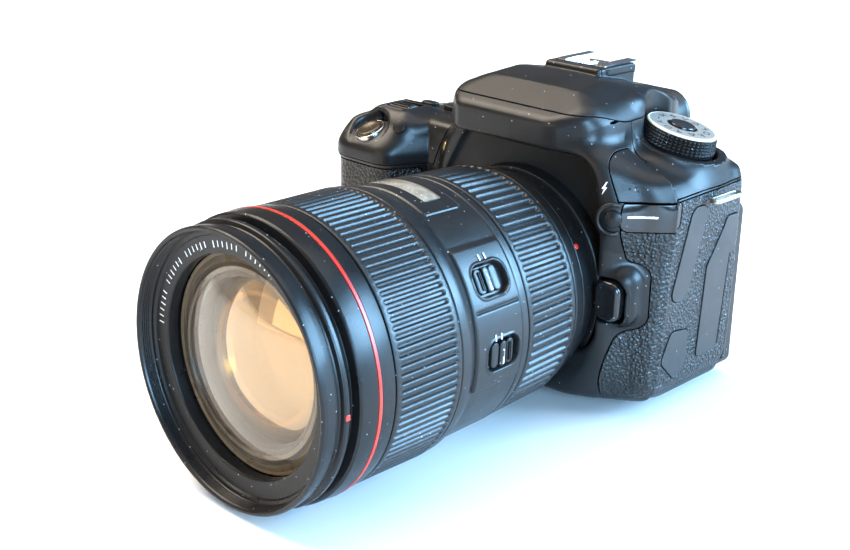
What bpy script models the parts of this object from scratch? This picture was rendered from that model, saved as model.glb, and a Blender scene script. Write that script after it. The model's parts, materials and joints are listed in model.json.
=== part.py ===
"""A digital single-lens reflex camera with a standard zoom lens, as separate solids.

Frame: +Z up, the lens points along -Y, +X is the side with the sockets and the mode dial.
The origin is on the flat base, straight below the lens axis and the image sensor's plane.
Sizes below are in millimetres; finish() turns them into Blender's metres.
"""

import math

import bmesh
import bpy
from mathutils import Matrix, Vector

MM = 0.001
GAP = 0.3                      # clearance between neighbouring pieces

# Driving dimensions of the body
AXIS_Z = 40.0                  # height of the lens axis above the base
FLANGE_Y = -44.0               # seat of the lens mount
FRONT_Y = -37.0                # front face beside the mount
REAR_Y = 12.0                  # face of the rear cover
GRIP_FRONT_Y = -52.0
GRIP_X = -84.0
PORT_X = 53.0
DECK_Z = 82.0                  # top deck
ROOF_Z = 101.2                 # roof of the finder housing, where the accessory shoe sits
WALL = 3.0
SKIN = 1.0                     # thickness of the rubber skins
BASE_T = 3.0
SPLIT_Y = 4.0                  # joint between the front and rear covers
REAR_SEAM_Z = 73.0
HEEL = 6.0                     # rounding round the base

# Driving dimensions of the lens
LENS_FRONT_Y = -162.0
ZOOM_RING = (-58.7, -81.2)     # rear and front end
FOCUS_RING = (-111.9, -137.1)
TUBE_R = 34.2                  # sliding front barrel
FOCUS_SWITCH = 59.0            # degrees round the lens from the top towards +X
STABILISER_SWITCH = 90.0
SWITCH_Y = -96.5
SWITCH_TRAVEL = 2.2
RING_STEPS = 48


# ---------------------------------------------------------------- shape helpers

def fillet(corners, steps=4):
    """Outline from (x, y, radius) corners, each rounded by an arc."""
    points = []
    count = len(corners)
    for i, (x, y, radius) in enumerate(corners):
        here = Vector((x, y))
        before = Vector(corners[i - 1][:2]) - here
        after = Vector(corners[(i + 1) % count][:2]) - here
        if radius <= 0:
            points.append(here)
            continue
        half = before.angle(after) / 2
        reach = radius / math.tan(half)
        start = here + before.normalized() * reach
        end = here + after.normalized() * reach
        centre = here + (before.normalized() + after.normalized()).normalized() * radius / math.sin(half)
        sweep = (start - centre).angle_signed(end - centre)
        for k in range(steps + 1):
            arm = start - centre
            arm.rotate(Matrix.Rotation(-sweep * k / steps, 2))
            points.append(centre + arm)
    return points


def inset(corners, distance):
    """Corners moved inwards by a distance, for an outline that runs anticlockwise."""
    moved = []
    count = len(corners)
    for i, (x, y, radius) in enumerate(corners):
        here = Vector((x, y))
        into = (here - Vector(corners[i - 1][:2])).normalized()
        away = (Vector(corners[(i + 1) % count][:2]) - here).normalized()
        normal_in = Vector((-into.y, into.x))
        normal_out = Vector((-away.y, away.x))
        shift = (normal_in + normal_out) / (1 + normal_in.dot(normal_out))
        turn = into.x * away.y - into.y * away.x
        new_radius = radius - distance if turn > 0 else radius + distance
        place = here + shift * distance
        moved.append((place.x, place.y, max(new_radius, 0.0) if radius > 0 else 0.0))
    return moved


def prism(points, low, high, axis="Z"):
    """Outline extruded along an axis. Its two coordinates are the other two axes, in X, Y, Z order."""
    place = {"X": lambda a, b, c: (c, a, b), "Y": lambda a, b, c: (a, c, b), "Z": lambda a, b, c: (a, b, c)}[axis]
    bm = bmesh.new()
    face = bm.faces.new([bm.verts.new(place(p[0], p[1], low)) for p in points])
    grown = bmesh.ops.extrude_face_region(bm, geom=[face])
    top = [v for v in grown["geom"] if isinstance(v, bmesh.types.BMVert)]
    bmesh.ops.translate(bm, verts=top, vec=Vector(place(0, 0, high - low)))
    bmesh.ops.recalc_face_normals(bm, faces=bm.faces)
    return bm


def box(low, high, bevel=0.0, segments=2):
    bm = bmesh.new()
    bmesh.ops.create_cube(bm, size=1.0)
    size = Vector(high) - Vector(low)
    middle = (Vector(high) + Vector(low)) / 2
    bmesh.ops.transform(bm, matrix=Matrix.Translation(middle) @ Matrix.Diagonal((*size, 1)), verts=bm.verts)
    if bevel:
        bmesh.ops.bevel(bm, geom=list(bm.edges), offset=bevel, segments=segments, affect="EDGES", profile=0.5)
    return bm


def slab(centre, width, height, radius, low, high, axis):
    """Rounded rectangle extruded along an axis, centred on the other two coordinates."""
    a, b = centre
    w, h = width / 2, height / 2
    corners = [(a - w, b - h, radius), (a + w, b - h, radius), (a + w, b + h, radius), (a - w, b + h, radius)]
    return prism(fillet(corners), low, high, axis)


def disc(base, direction, radius, height, steps=24, bevel=0.0):
    """Cylinder that starts at base and grows along direction."""
    bm = bmesh.new()
    bmesh.ops.create_cone(bm, cap_ends=True, segments=steps, radius1=radius, radius2=radius, depth=height)
    if bevel:
        rim = [e for e in bm.edges if all(v.co.z > 0 for v in e.verts)]
        bmesh.ops.bevel(bm, geom=rim, offset=bevel, segments=2, affect="EDGES", profile=0.5)
    turn = Vector(direction).to_track_quat("Z", "Y").to_matrix().to_4x4()
    lift = Matrix.Translation((0, 0, height / 2))
    bmesh.ops.transform(bm, matrix=Matrix.Translation(base) @ turn @ lift, verts=bm.verts)
    return bm


def turned(profile, base=(0, 0, AXIS_Z), direction=(0, 1, 0), steps=RING_STEPS):
    """Closed (radius, distance) profile spun about a line through base."""
    bm = bmesh.new()
    turn = Vector(direction).to_track_quat("Z", "Y").to_matrix().to_4x4()
    verts = [bm.verts.new((r, 0, d)) for r, d in profile]
    edges = [bm.edges.new((verts[i], verts[i - 1])) for i in range(len(verts))]
    bmesh.ops.spin(bm, geom=verts + edges, cent=(0, 0, 0), axis=(0, 0, 1), angle=math.tau, steps=steps,
                   use_merge=True)
    bmesh.ops.remove_doubles(bm, verts=bm.verts, dist=1e-4)
    bmesh.ops.transform(bm, matrix=Matrix.Translation(base) @ turn, verts=bm.verts)
    bmesh.ops.recalc_face_normals(bm, faces=bm.faces)
    return bm


def bore(outer, inner, rear, front):
    """Ring profile between two radii and two positions along the lens."""
    return [(inner, rear), (outer, rear), (outer, front), (inner, front)]


def scratch(bm):
    """Unnamed object that a Boolean uses up."""
    mesh = bpy.data.meshes.new("tool")
    bm.to_mesh(mesh)
    bm.free()
    obj = bpy.data.objects.new("tool", mesh)
    bpy.context.collection.objects.link(obj)
    return obj


def combine(obj, tool, operation):
    modifier = obj.modifiers.new("combine", "BOOLEAN")
    modifier.operation = operation
    modifier.solver = "EXACT"
    modifier.object = tool
    graph = bpy.context.evaluated_depsgraph_get()
    mesh = bpy.data.meshes.new_from_object(obj.evaluated_get(graph))
    obj.modifiers.clear()
    obj.data = mesh
    bpy.data.objects.remove(tool)
    return obj


def cut(obj, *tools):
    for tool in tools:
        combine(obj, scratch(tool), "DIFFERENCE")
    return obj


def join(obj, *tools):
    for tool in tools:
        combine(obj, scratch(tool), "UNION")
    return obj


def keep(obj, *tools):
    for tool in tools:
        combine(obj, scratch(tool), "INTERSECT")
    return obj


def finish(obj, name, look, pivot=(0, 0, 0)):
    """Turn millimetres into metres, put the origin on the pivot and name the piece."""
    mesh = obj.data
    mesh.transform(Matrix.Scale(MM, 4) @ Matrix.Translation(-Vector(pivot)))
    obj.location = Vector(pivot) * MM
    obj.name = name
    mesh.name = name
    mesh.materials.clear()
    mesh.materials.append(look)
    mesh.shade_smooth()
    mesh.set_sharp_from_angle(angle=math.radians(30))
    return obj


def piece(bm, name, look, pivot=(0, 0, 0)):
    return finish(scratch(bm), name, look, pivot)


def material(name, colour, roughness, metallic=0.0):
    made = bpy.data.materials.new(name)
    made.use_nodes = True
    shader = made.node_tree.nodes["Principled BSDF"]
    shader.inputs["Base Color"].default_value = (*colour, 1.0)
    shader.inputs["Roughness"].default_value = roughness
    shader.inputs["Metallic"].default_value = metallic
    return made


# ---------------------------------------------------------------- body envelope

PLAN = [                       # seen from above, anticlockwise
    (GRIP_X + 4, GRIP_FRONT_Y, 10),
    (-54, GRIP_FRONT_Y, 8),
    (-47, FRONT_Y, 3),
    (PORT_X, FRONT_Y, 12),
    (PORT_X - 1, REAR_Y, 8),
    (GRIP_X + 4, REAR_Y, 8),
    (GRIP_X, -30, 20),
]
SIDE = [                       # seen from +X: (y, z)
    (GRIP_FRONT_Y - 1, 0, HEEL + 1),
    (REAR_Y + 1, 0, HEEL + 1),
    (REAR_Y + 1, DECK_Z, 5),
    (-32, DECK_Z, 10),
    (GRIP_FRONT_Y - 1, 69, 3),
]
FACE = [                       # seen from the front: (x, z)
    (GRIP_X - 1, 0, HEEL + 1),
    (PORT_X + 1, 0, HEEL + 5),
    (PORT_X + 1, 71, 6),
    (40, 80, 10),
    (28, DECK_Z, 4),
    (GRIP_X + 6, DECK_Z, 6),
    (GRIP_X - 1, 74, 4),
]
HUMP_FACE = [                  # finder housing seen from the front: (x, z)
    (-36, 74, 0),
    (36, 74, 0),
    (26, 96, 6),
    (13, 105, 8),
    (-13, 105, 8),
    (-26, 96, 6),
]
HUMP_SIDE = [                  # finder housing seen from +X: (y, z)
    (-50, 85, 3),
    (-38, 84, 2),
    (-36, 74, 0),
    (15, 74, 2),
    (16, 90, 3),
    (7, 95, 3),
    (4, ROOF_Z, 1),
    (-16, ROOF_Z, 2),
    (-20, 105, 3),
    (-38, 104, 12),
    (-51, 96, 3),
]


def envelope(shrink=0.0):
    """The body's outer form, or the same form moved inwards."""
    block = scratch(prism(fillet(inset(PLAN, shrink)), shrink - 5, DECK_Z + 10))
    keep(block, prism(fillet(inset(SIDE, shrink)), GRIP_X - 5, PORT_X + 5, "X"))
    keep(block, prism(fillet(inset(FACE, shrink)), GRIP_FRONT_Y - 5, REAR_Y + 5, "Y"))
    hump = scratch(prism(fillet(inset(HUMP_FACE, shrink)), -60, 30, "Y"))
    keep(hump, prism(fillet(inset(HUMP_SIDE, shrink)), -50, 50, "X"))
    combine(block, hump, "UNION")
    cut(block, disc(DIAL_SEAT - DIAL_AXIS * shrink, DIAL_AXIS, DIAL_POCKET_R + shrink, 30, 32))
    return block


def copy_of(obj):
    twin = bpy.data.objects.new("tool", obj.data.copy())
    bpy.context.collection.objects.link(twin)
    return twin


def top_region(lower=0.0):
    """Everything that belongs to the top cover; lower drops its seam."""
    seam = [(-95, 66 - lower), (-32, 66 - lower), (-27, 73 - lower), (70, 73 - lower), (70, 130), (-95, 130)]
    region = scratch(prism(seam, -70, SPLIT_Y, "Y"))
    join(region, box((-95, SPLIT_Y - 1, REAR_SEAM_Z - lower), (70, 40, 130)))
    return region


# ---------------------------------------------------------------- cut-outs and moving-piece places

DIAL_AXIS = Vector((math.sin(math.radians(13)), 0.10, math.cos(math.radians(13)))).normalized()
DIAL_TOP = Vector((35.0, -6.0, 89.0))
DIAL_H = 6.4
SWITCH_H = 2.0
TAB_ANGLE = math.radians(12)    # from +X towards +Y
DIAL_R = 11.4
DIAL_POCKET_R = 13.2
DIAL_SEAT = DIAL_TOP - DIAL_AXIS * (DIAL_H + SWITCH_H + 2 * GAP)
SHUTTER_AXIS = Vector((-0.12, -0.42, 0.90)).normalized()
SHUTTER_AT = Vector((-65.4, -46.0, 75.0))
TOP_BUTTONS = {"af_mode_button": -72, "drive_mode_button": -61, "iso_button": -50, "metering_button": -39}
TOP_BUTTON_Y = -21.0
REAR_BUTTONS = {               # x, z and radius on the rear cover
    "live_view_button": (-24, 68, 4.2),
    "af_on_button": (-45, 69, 3.4),
    "menu_button": (40, 68.5, 3.2),
}
MONITOR = ((-28, 8.8, 5), (49, 16.8, 62))
TERMINAL_COVER = [(-9.5, 13, 2), (7.5, 13, 2), (7.5, 62, 2), (-2, 62, 3), (-10, 47, 12)]
REMOTE_COVER = [(-20, 10.5, 2), (-15.5, 16, 3), (-17, 27.5, 4), (-26, 28.5, 4), (-29.5, 18, 3)]
AUDIO_COVER = [(-29, 39, 3.8), (-20, 39, 3.8), (-12, 68.5, 3.8), (-21.5, 68.5, 3.8)]
COVER_T = 1.6
BATTERY_DOOR = ((-79, -28), (-54, 6))
CARD_DOOR = ((-12, 24), (8, 58))
DIAL_MAIN = Vector((-61, -34, 78.2))
DIAL_MAIN_R = 7.0
QUICK_DIAL = Vector((-56, REAR_Y, 28))
RELEASE = (39.5, 41.5)           # x and z of the lens release button
FINDER_Z = 81.5                # height of the eyepiece


def cover_outline(corners, slack=0.0):
    return prism(fillet(inset(corners, -slack)), PORT_X - COVER_T - slack, PORT_X + 3 if slack else PORT_X, "X")


def button_tool(base, direction, radius, depth=8.0):
    """Clearance hole for a round button."""
    start = Vector(base) - Vector(direction) * depth
    return disc(start, direction, radius + GAP, depth + 6)


# ---------------------------------------------------------------- body shells

def make_shells(black, rubber):
    outer = envelope()
    cavity = envelope(WALL)
    shell = copy_of(outer)
    join(shell, disc((0, FLANGE_Y + 2, AXIS_Z), (0, 1, 0), 37.5, 9, RING_STEPS))
    join(shell, slab((41.5, 43.5), 18, 20, 5, -43, -31, "Y"))
    combine(shell, cavity, "DIFFERENCE")

    skin = outer
    combine(skin, envelope(SKIN), "DIFFERENCE")

    make_skin(skin, rubber, "grip_rubber", grip_skin_regions)
    make_skin(skin, rubber, "side_rubber", port_skin_regions)
    bpy.data.objects.remove(skin)

    top = copy_of(shell)
    combine(top, top_region(), "INTERSECT")
    make_top(top, black)

    lower = shell
    combine(lower, top_region(GAP), "DIFFERENCE")
    relief = envelope(-1.0)
    combine(relief, envelope(SKIN + GAP), "DIFFERENCE")
    for region in (grip_skin_regions, port_skin_regions):
        layer = copy_of(relief)
        combine(layer, region(GAP), "INTERSECT")
        combine(lower, layer, "DIFFERENCE")
    bpy.data.objects.remove(relief)

    front = copy_of(lower)
    keep(front, box((-100, -70, BASE_T + GAP), (70, SPLIT_Y - GAP, 90)))
    make_front(front, black)
    rear = lower
    keep(rear, box((-100, SPLIT_Y, BASE_T + GAP), (70, 40, 90)))
    make_rear(rear, black)
    make_base(black)


def grip_skin_regions(slack=0.0):
    """Round the grip, from the thumb rest to the finger gap."""
    return scratch(box((-95, -60, 9 - slack), (-48.5 + slack, SPLIT_Y - 1 + slack, 65.4 + slack)))


def port_skin_regions(slack=0.0):
    """Front corner and side, below the badge."""
    outline = [(38 - slack, 9 - slack), (70, 9 - slack), (70, 62.5 + slack), (40 - slack, 62.5 + slack),
               (40 - slack, 52), (50 - slack, 50), (50 - slack, 28), (38 - slack, 26)]
    return scratch(prism(outline, -45, SPLIT_Y - 1 + slack, "Y"))


def make_skin(skin, rubber, name, region):
    layer = copy_of(skin)
    combine(layer, region(), "INTERSECT")
    if name == "side_rubber":
        cut(layer, *[cover_outline(c, GAP) for c in (TERMINAL_COVER, REMOTE_COVER, AUDIO_COVER)])
    else:
        cut(layer, card_door_tool(GAP))
    finish(layer, name, rubber)


def card_door_tool(slack=0.0):
    (y0, z0), (y1, z1) = CARD_DOOR
    return box((GRIP_X - 4, y0 - slack, z0 - slack), (GRIP_X + 4.0 + slack, y1 + slack, z1 + slack))


def make_front(front, black):
    cut(front, disc((0, FLANGE_Y - 2, AXIS_Z), (0, 1, 0), 24.6, 20, RING_STEPS))
    cut(front, button_tool((32, FRONT_Y, 66), (0, -1, 0), 3.4))
    cut(front, disc((0, FLANGE_Y - 2, AXIS_Z), (0, 1, 0), 33 + GAP, 4.0, RING_STEPS))
    cut(front, slab(RELEASE, 9.6 + 2 * GAP, 13.4 + 2 * GAP, 4, -50, -30, "Y"))
    cut(front, button_tool((-31, FRONT_Y - 4, 15), (0, -1, 0), 3.4, 12))
    cut(front, *[cover_outline(c, GAP) for c in (TERMINAL_COVER, REMOTE_COVER, AUDIO_COVER)])
    cut(front, card_door_tool(GAP))
    finish(front, "front_cover", black)


def make_rear(rear, black):
    (x0, y0, z0), (x1, y1, z1) = MONITOR
    join(rear, box((x0 - 3, y0 - 2.6, z0 - 1.4), (x1 - 2, REAR_Y - 0.1, z1 + 3)))
    cut(rear, box((x0 - 0.8, y0 - GAP, z0 - 0.8), (x1 + 20, 40, z1 + 0.8)))
    cut(rear, disc(QUICK_DIAL - Vector((0, 2.0, 0)), (0, 1, 0), 14.5 + GAP, 10, 32))
    for x, z, radius in REAR_BUTTONS.values():
        cut(rear, button_tool((x, REAR_Y, z), (0, 1, 0), radius))
    cut(rear, disc(QUICK_DIAL - Vector((0, 9, 0)), (0, 1, 0), 4.6 + GAP, 12))
    cut(rear, cover_outline(TERMINAL_COVER, GAP), card_door_tool(GAP))
    finish(rear, "rear_cover", black)


def make_base(black):
    base = envelope()
    keep(base, box((-100, -70, -1), (70, 40, BASE_T)))
    (x0, y0), (x1, y1) = BATTERY_DOOR
    cut(base, box((x0 - GAP, y0 - GAP, -2), (x1 + GAP, y1 + GAP, 9)))
    cut(base, disc((0, -15, -2), (0, 0, 1), 7 + GAP, 9))
    finish(base, "base_plate", black)


def make_top(top, black):
    join(top, slab((0, -6.4), 25, 23, 3, ROOF_Z - 2, ROOF_Z + 0.6, "Z"))
    cut(top, flash_region(GAP))
    join(top, box((-24, -47.5, 90.6), (24, -17.5, 92.4)))
    cut(top, disc(DIAL_MAIN - Vector((7.6, 0, 0)), (1, 0, 0), DIAL_MAIN_R + 0.5, 15.2, 32))
    cut(top, button_tool(SHUTTER_AT, SHUTTER_AXIS, 5.0))
    cut(top, button_tool((-53, -44.2, 80), (0, -0.25, 0.97), 2.4))
    for x in TOP_BUTTONS.values():
        cut(top, slab((x, TOP_BUTTON_Y), 7 + 2 * GAP, 4 + 2 * GAP, 1.9, 70, 90, "Z"))
    cut(top, slab((-56, -3), 40 + 2 * GAP, 21 + 2 * GAP, 2, DECK_Z - 1.8 - GAP, 90, "Z"))
    cut(top, button_tool((-37.4, FRONT_Y, 73.5), (0, -1, 0), 2.2))
    cut(top, slab((0, FINDER_Z), 22, 14, 3, 2, 30, "Y"))
    cut(top, disc((-40, 8, 87), (1, 0, 0), 4.2 + GAP, 13.6))
    finish(top, "top_cover", black)


# ---------------------------------------------------------------- pieces on the body

def make_doors(black, rubber):
    piece(cover_outline(TERMINAL_COVER), "terminal_cover", rubber, (PORT_X, 7.5, 38))
    piece(cover_outline(REMOTE_COVER), "remote_cover", rubber, (PORT_X, -16, 20))
    piece(cover_outline(AUDIO_COVER), "audio_cover", rubber, (PORT_X, -16, 54))
    (x0, y0), (x1, y1) = BATTERY_DOOR
    piece(box((x0, y0, 0), (x1, y1, BASE_T - 0.4)), "battery_door", black, (x1, -11, 0))
    door = envelope()
    keep(door, card_door_tool())
    finish(door, "card_door", black, (GRIP_X + 3.6, CARD_DOOR[1][0], 41))


def make_hardware(steel, gloss):
    thread = bore(7.0, 3.2, 0.0, BASE_T + 6)
    piece(turned(thread, (0, -15, 0), (0, 0, 1), 24), "tripod_socket", steel)
    shoe = scratch(slab((0, -6.4), 21.6, 19.5, 1, ROOF_Z + 0.6 + GAP, ROOF_Z + 4.0, "Z"))
    cut(shoe, box((-9.3, -20, ROOF_Z + 1.7), (9.3, 2.6, ROOF_Z + 3.1)))
    cut(shoe, box((-6.2, -20, ROOF_Z + 3.0), (6.2, 2.6, ROOF_Z + 6)))
    join(shoe, box((-6, -15.5, ROOF_Z + 1.5), (6, 1.0, ROOF_Z + 1.9)))
    finish(shoe, "hot_shoe", steel)
    for name, x, side in (("strap_lug_port", PORT_X + GAP, 1), ("strap_lug_grip", GRIP_X + 0.9, -1)):
        loop = scratch(slab((x + side * 2.2, -8), 4.4, 17, 1.4, 69.4, 71.6, "Z"))
        cut(loop, slab((x + side * 2.4, -8), 1.8, 13.5, 0.8, 60, 80, "Z"))
        finish(loop, name, steel)
    mount = scratch(turned(bore(33, 24.0, FLANGE_Y, FLANGE_Y + 1.7)))
    finish(mount, "mount_ring", steel)
    badge = envelope(-0.8)
    combine(badge, envelope(-GAP), "DIFFERENCE")
    keep(badge, box((38.5, -45, 63.2), (58, -27, 72.2)))
    finish(badge, "badge_plate", gloss)


FLASH_PIVOT = (0, -18.0, 102.6)


def flash_region(slack=0.0):
    """The lid of the flash: the front of the housing above its seam."""
    seam = [(-60, 95.2 - slack), (-48, 95.2 - slack), (-22, 96.6 - slack), (-17.6 + slack, 99.5 - slack),
            (-17.6 + slack, 115), (-60, 115)]
    return prism(seam, -40, 40, "X")


def make_flash(black, clear):
    lid = envelope()
    keep(lid, flash_region())
    hollow = envelope(2.2)
    keep(hollow, prism([(-60, 90), (-21.5, 90), (-21.5, 115), (-60, 115)], -22, 22, "X"))
    combine(lid, hollow, "DIFFERENCE")
    cut(lid, box((-18, -45.5, 90), (18, -24, 98)))
    finish(lid, "flash_head", black, FLASH_PIVOT)
    piece(slab((0, -36.5), 32, 13, 2, 94.2, 97.6, "Z"), "flash_window", clear, FLASH_PIVOT)


def make_controls(black, gloss, silver, clear, amber):
    stem = DIAL_TOP - DIAL_AXIS * (DIAL_H + SWITCH_H + GAP)
    lever = scratch(disc(stem, DIAL_AXIS, 12.4, SWITCH_H, 32))
    join(lever, lever_tab(stem))
    finish(lever, "power_switch", black, stem)
    dial = scratch(disc(DIAL_TOP - DIAL_AXIS * DIAL_H, DIAL_AXIS, DIAL_R, DIAL_H, RING_STEPS, 0.6))
    cut(dial, disc(DIAL_TOP - DIAL_AXIS * 2.4, DIAL_AXIS, 3.6 + GAP, 6))
    finish(dial, "mode_dial", silver, DIAL_TOP)
    lock = disc(DIAL_TOP - DIAL_AXIS * 1.0, DIAL_AXIS, 3.6, 1.4, 24, 0.3)
    piece(lock, "mode_dial_lock_button", black, DIAL_TOP)

    piece(disc(SHUTTER_AT - SHUTTER_AXIS * 3.2, SHUTTER_AXIS, 5.0, 4.2, 24, 0.5), "shutter_button", silver,
          SHUTTER_AT)
    piece(disc((-53, -44.2, 78.0), (0, -0.25, 0.97), 2.4, 3.4, 20, 0.3), "af_area_button", black,
          (-53, -44.2, 80))
    piece(disc(DIAL_MAIN - Vector((7.0, 0, 0)), (1, 0, 0), DIAL_MAIN_R, 14, 32), "main_dial", black, DIAL_MAIN)
    for name, x in TOP_BUTTONS.items():
        piece(slab((x, TOP_BUTTON_Y), 7, 4, 1.8, DECK_Z - 3, DECK_Z + 1.0, "Z"), name, black,
              (x, TOP_BUTTON_Y, DECK_Z))
    piece(slab((-56, -3), 40, 21, 2, DECK_Z - 1.8, DECK_Z, "Z"), "top_display_window", gloss)

    piece(disc((-37.4, FRONT_Y + 2, 73.5), (0, -1, 0), 2.2, 2.8, 20, 0.5), "self_timer_lamp", amber)
    piece(disc((32, FRONT_Y + 2.4, 66), (0, -1, 0), 3.4, 3.8, 20, 0.5), "flash_button", black, (32, FRONT_Y, 66))
    release = slab(RELEASE, 9.6, 13.4, 3.8, -46, -35.5, "Y")
    piece(release, "lens_release_button", black, (RELEASE[0], -43, RELEASE[1]))
    piece(disc((-31, FRONT_Y + 2, 15), (0, -1, 0), 3.4, 5.4, 20, 0.5), "depth_preview_button", black,
          (-31, FRONT_Y, 15))
    for name, (x, z, radius) in REAR_BUTTONS.items():
        piece(disc((x, REAR_Y - 2.2, z), (0, 1, 0), radius, 3.4, 20, 0.4), name, black, (x, REAR_Y, z))

    quick = turned(bore(14.5, 10.0, -1.7, 2.6), QUICK_DIAL, (0, 1, 0), 36)
    piece(quick, "quick_control_dial", black, QUICK_DIAL)
    piece(disc(QUICK_DIAL - Vector((0, 1.9, 0)), (0, 1, 0), 4.6, 4.1, 24, 0.5), "set_button", black, QUICK_DIAL)
    piece(disc((-36, 8, 87), (1, 0, 0), 4.2, 8.2, 24, 0.4), "diopter_knob", black, (-32, 8, 87))

    cup = scratch(slab((0, FINDER_Z - 1), 38, 24, 8, 16.4, 25.6, "Y"))
    cut(cup, slab((0, FINDER_Z), 23, 15, 4, 10, 30, "Y"))
    finish(cup, "eyecup", black)
    piece(slab((0, FINDER_Z), 21.4, 13.4, 2.8, 11.0, 13.5, "Y"), "eyepiece_lens", clear)

    screen = scratch(box(*MONITOR, bevel=1.5))
    finish(screen, "monitor", gloss, (MONITOR[1][0], MONITOR[1][1], 33))


def lever_tab(stem):
    """Finger tab of the power switch, on the outer side of the dial."""
    tab = box((10.5, -3.2, 0.2), (15.6, 3.2, SWITCH_H - 0.2))
    heading = Vector((math.cos(TAB_ANGLE), math.sin(TAB_ANGLE), 0))
    across = DIAL_AXIS.cross(heading).normalized()
    turn = Matrix((across.cross(DIAL_AXIS), across, DIAL_AXIS)).transposed().to_4x4()
    bmesh.ops.transform(tab, matrix=Matrix.Translation(stem) @ turn, verts=tab.verts)
    return tab


# ---------------------------------------------------------------- inside the body

def make_inside(black, board, glass, mirror, blue):
    chamber = scratch(box((-22, -33.6, 26), (22, -9.0, 53)))
    cut(chamber, box((-18, -50, 28), (18, 0, 60)))
    finish(chamber, "mirror_box", black)
    hinge_y, hinge_z, reach = -11.5, 50.4, 25.0
    lower = (hinge_y - reach * math.sqrt(0.5), hinge_z - reach * math.sqrt(0.5))
    thick = 1.2 * math.sqrt(0.5)
    plate = [(hinge_y, hinge_z), lower, (lower[0] + thick, lower[1] - thick), (hinge_y + thick, hinge_z - thick)]
    piece(prism(plate, -15.5, 15.5, "X"), "reflex_mirror", mirror, (0, hinge_y, hinge_z))
    shutter = scratch(box((-24, -8.6, 24), (24, -3.2, 54.6)))
    cut(shutter, box((-12, -20, 31), (12, 0, 49)))
    finish(shutter, "shutter_unit", black)
    piece(box((-14, -2.4, 30), (14, 0, 50)), "image_sensor", blue)
    piece(box((-17, -31, 53.4), (17, -11, 54.8)), "focusing_screen", glass)
    prism_side = [(-30, 55.2), (-8, 55.2), (-2, 66), (-2, 78), (-16, 89), (-30, 76)]
    piece(prism(prism_side, -15, 15, "X"), "pentaprism", glass)
    piece(box((-44, 2.4, 9), (45, 3.7, 68)), "main_board", board)
    piece(box((-73.5, -26, 3.6), (-55, 3.0, 60), 1.5, 1), "battery", black)
    piece(box((-76.0, -8, 27.5), (-74.4, 3.0, 59)), "memory_card", blue)


# ---------------------------------------------------------------- lens

def make_lens(black, ribbed, glass):
    zr, zf = ZOOM_RING
    fr, ff = FOCUS_RING
    barrel = [
        (19.8, -38.8), (23.4, -38.8), (23.4, FLANGE_Y - GAP), (33.0, FLANGE_Y - GAP), (33.6, -47.0), (36.4, -50.0),
        (37.6, -57.5), (37.6, zr + GAP), (36.1, zr + GAP), (36.1, zf - GAP), (39.07, zf - GAP), (39.3, -88),
        (41.3, -109), (41.3, fr + GAP), (38.9, fr + GAP), (38.9, ff - GAP), (41.3, ff - GAP), (42.0, -143.2),
        (41.9, -150.0), (41.0, -151.0), (34.6, -151.0), (34.6, -52.0), (19.8, -52.0),
    ]
    shell = scratch(turned(barrel))
    for angle in (FOCUS_SWITCH, STABILISER_SWITCH):
        cut(shell, switch_block(SWITCH_Y, angle, 11, 7, GAP, 38.0, 44))
    finish(shell, "lens_barrel", black)
    piece(turned([(36.4, zr), (38.0, zr), (38.7, -70), (39.0, zf), (36.4, zf)]), "zoom_ring", ribbed,
          (0, -70, AXIS_Z))
    piece(turned(bore(41.45, 39.2, fr, ff)), "focus_ring", ribbed, (0, -124.5, AXIS_Z))
    inner = [
        (32.0, -70.0), (TUBE_R, -70.0), (TUBE_R, -152.0), (40.2, -153.2), (40.9, -156.0), (40.5, LENS_FRONT_Y),
        (38.5, LENS_FRONT_Y), (38.0, -159.5), (31.7, -158.2), (31.7, -154.0), (32.0, -153.0),
    ]
    piece(turned(inner), "front_barrel", black, (0, -110, AXIS_Z))
    front = [(0.0, -149.0), (31.2, -150.5), (31.2, -154.5), (24.0, -156.6), (12.0, -157.8), (0.0, -158.2)]
    piece(dome(front), "front_glass", glass)
    rear = [(0.0, -44.5), (17.0, -45.5), (19.2, -47.0), (19.2, -50.5), (0.0, -51.0)]
    piece(dome(rear), "rear_glass", glass)
    half = SWITCH_TRAVEL / 2
    piece(switch_block(SWITCH_Y - half, FOCUS_SWITCH, 8.6, 7, 0, 38.4, 41.5), "af_mf_switch", black,
          (0, SWITCH_Y, AXIS_Z))
    piece(switch_block(SWITCH_Y + half, STABILISER_SWITCH, 8.6, 7, 0, 38.4, 41.5), "stabiliser_switch", black,
          (0, SWITCH_Y, AXIS_Z))


def dome(profile):
    """Turned solid whose profile starts and ends on the axis."""
    bm = bmesh.new()
    verts = [bm.verts.new((r, 0, d)) for r, d in profile]
    edges = [bm.edges.new((verts[i], verts[i + 1])) for i in range(len(verts) - 1)]
    bmesh.ops.spin(bm, geom=verts + edges, cent=(0, 0, 0), axis=(0, 0, 1), angle=math.tau, steps=RING_STEPS,
                   use_merge=True)
    bmesh.ops.remove_doubles(bm, verts=bm.verts, dist=1e-4)
    turn = Vector((0, 1, 0)).to_track_quat("Z", "Y").to_matrix().to_4x4()
    bmesh.ops.transform(bm, matrix=Matrix.Translation((0, 0, AXIS_Z)) @ turn, verts=bm.verts)
    bmesh.ops.recalc_face_normals(bm, faces=bm.faces)
    return bm


def switch_block(y, angle, length, width, slack, low, high):
    """Block on the lens at an angle from the top towards +X, between two radii."""
    block = box((-width / 2 - slack, y - length / 2 - slack, low - slack),
                (width / 2 + slack, y + length / 2 + slack, high))
    turn = Matrix.Rotation(math.radians(angle), 4, "Y")
    bmesh.ops.transform(block, matrix=Matrix.Translation((0, 0, AXIS_Z)) @ turn, verts=block.verts)
    return block


# ---------------------------------------------------------------- build

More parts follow.
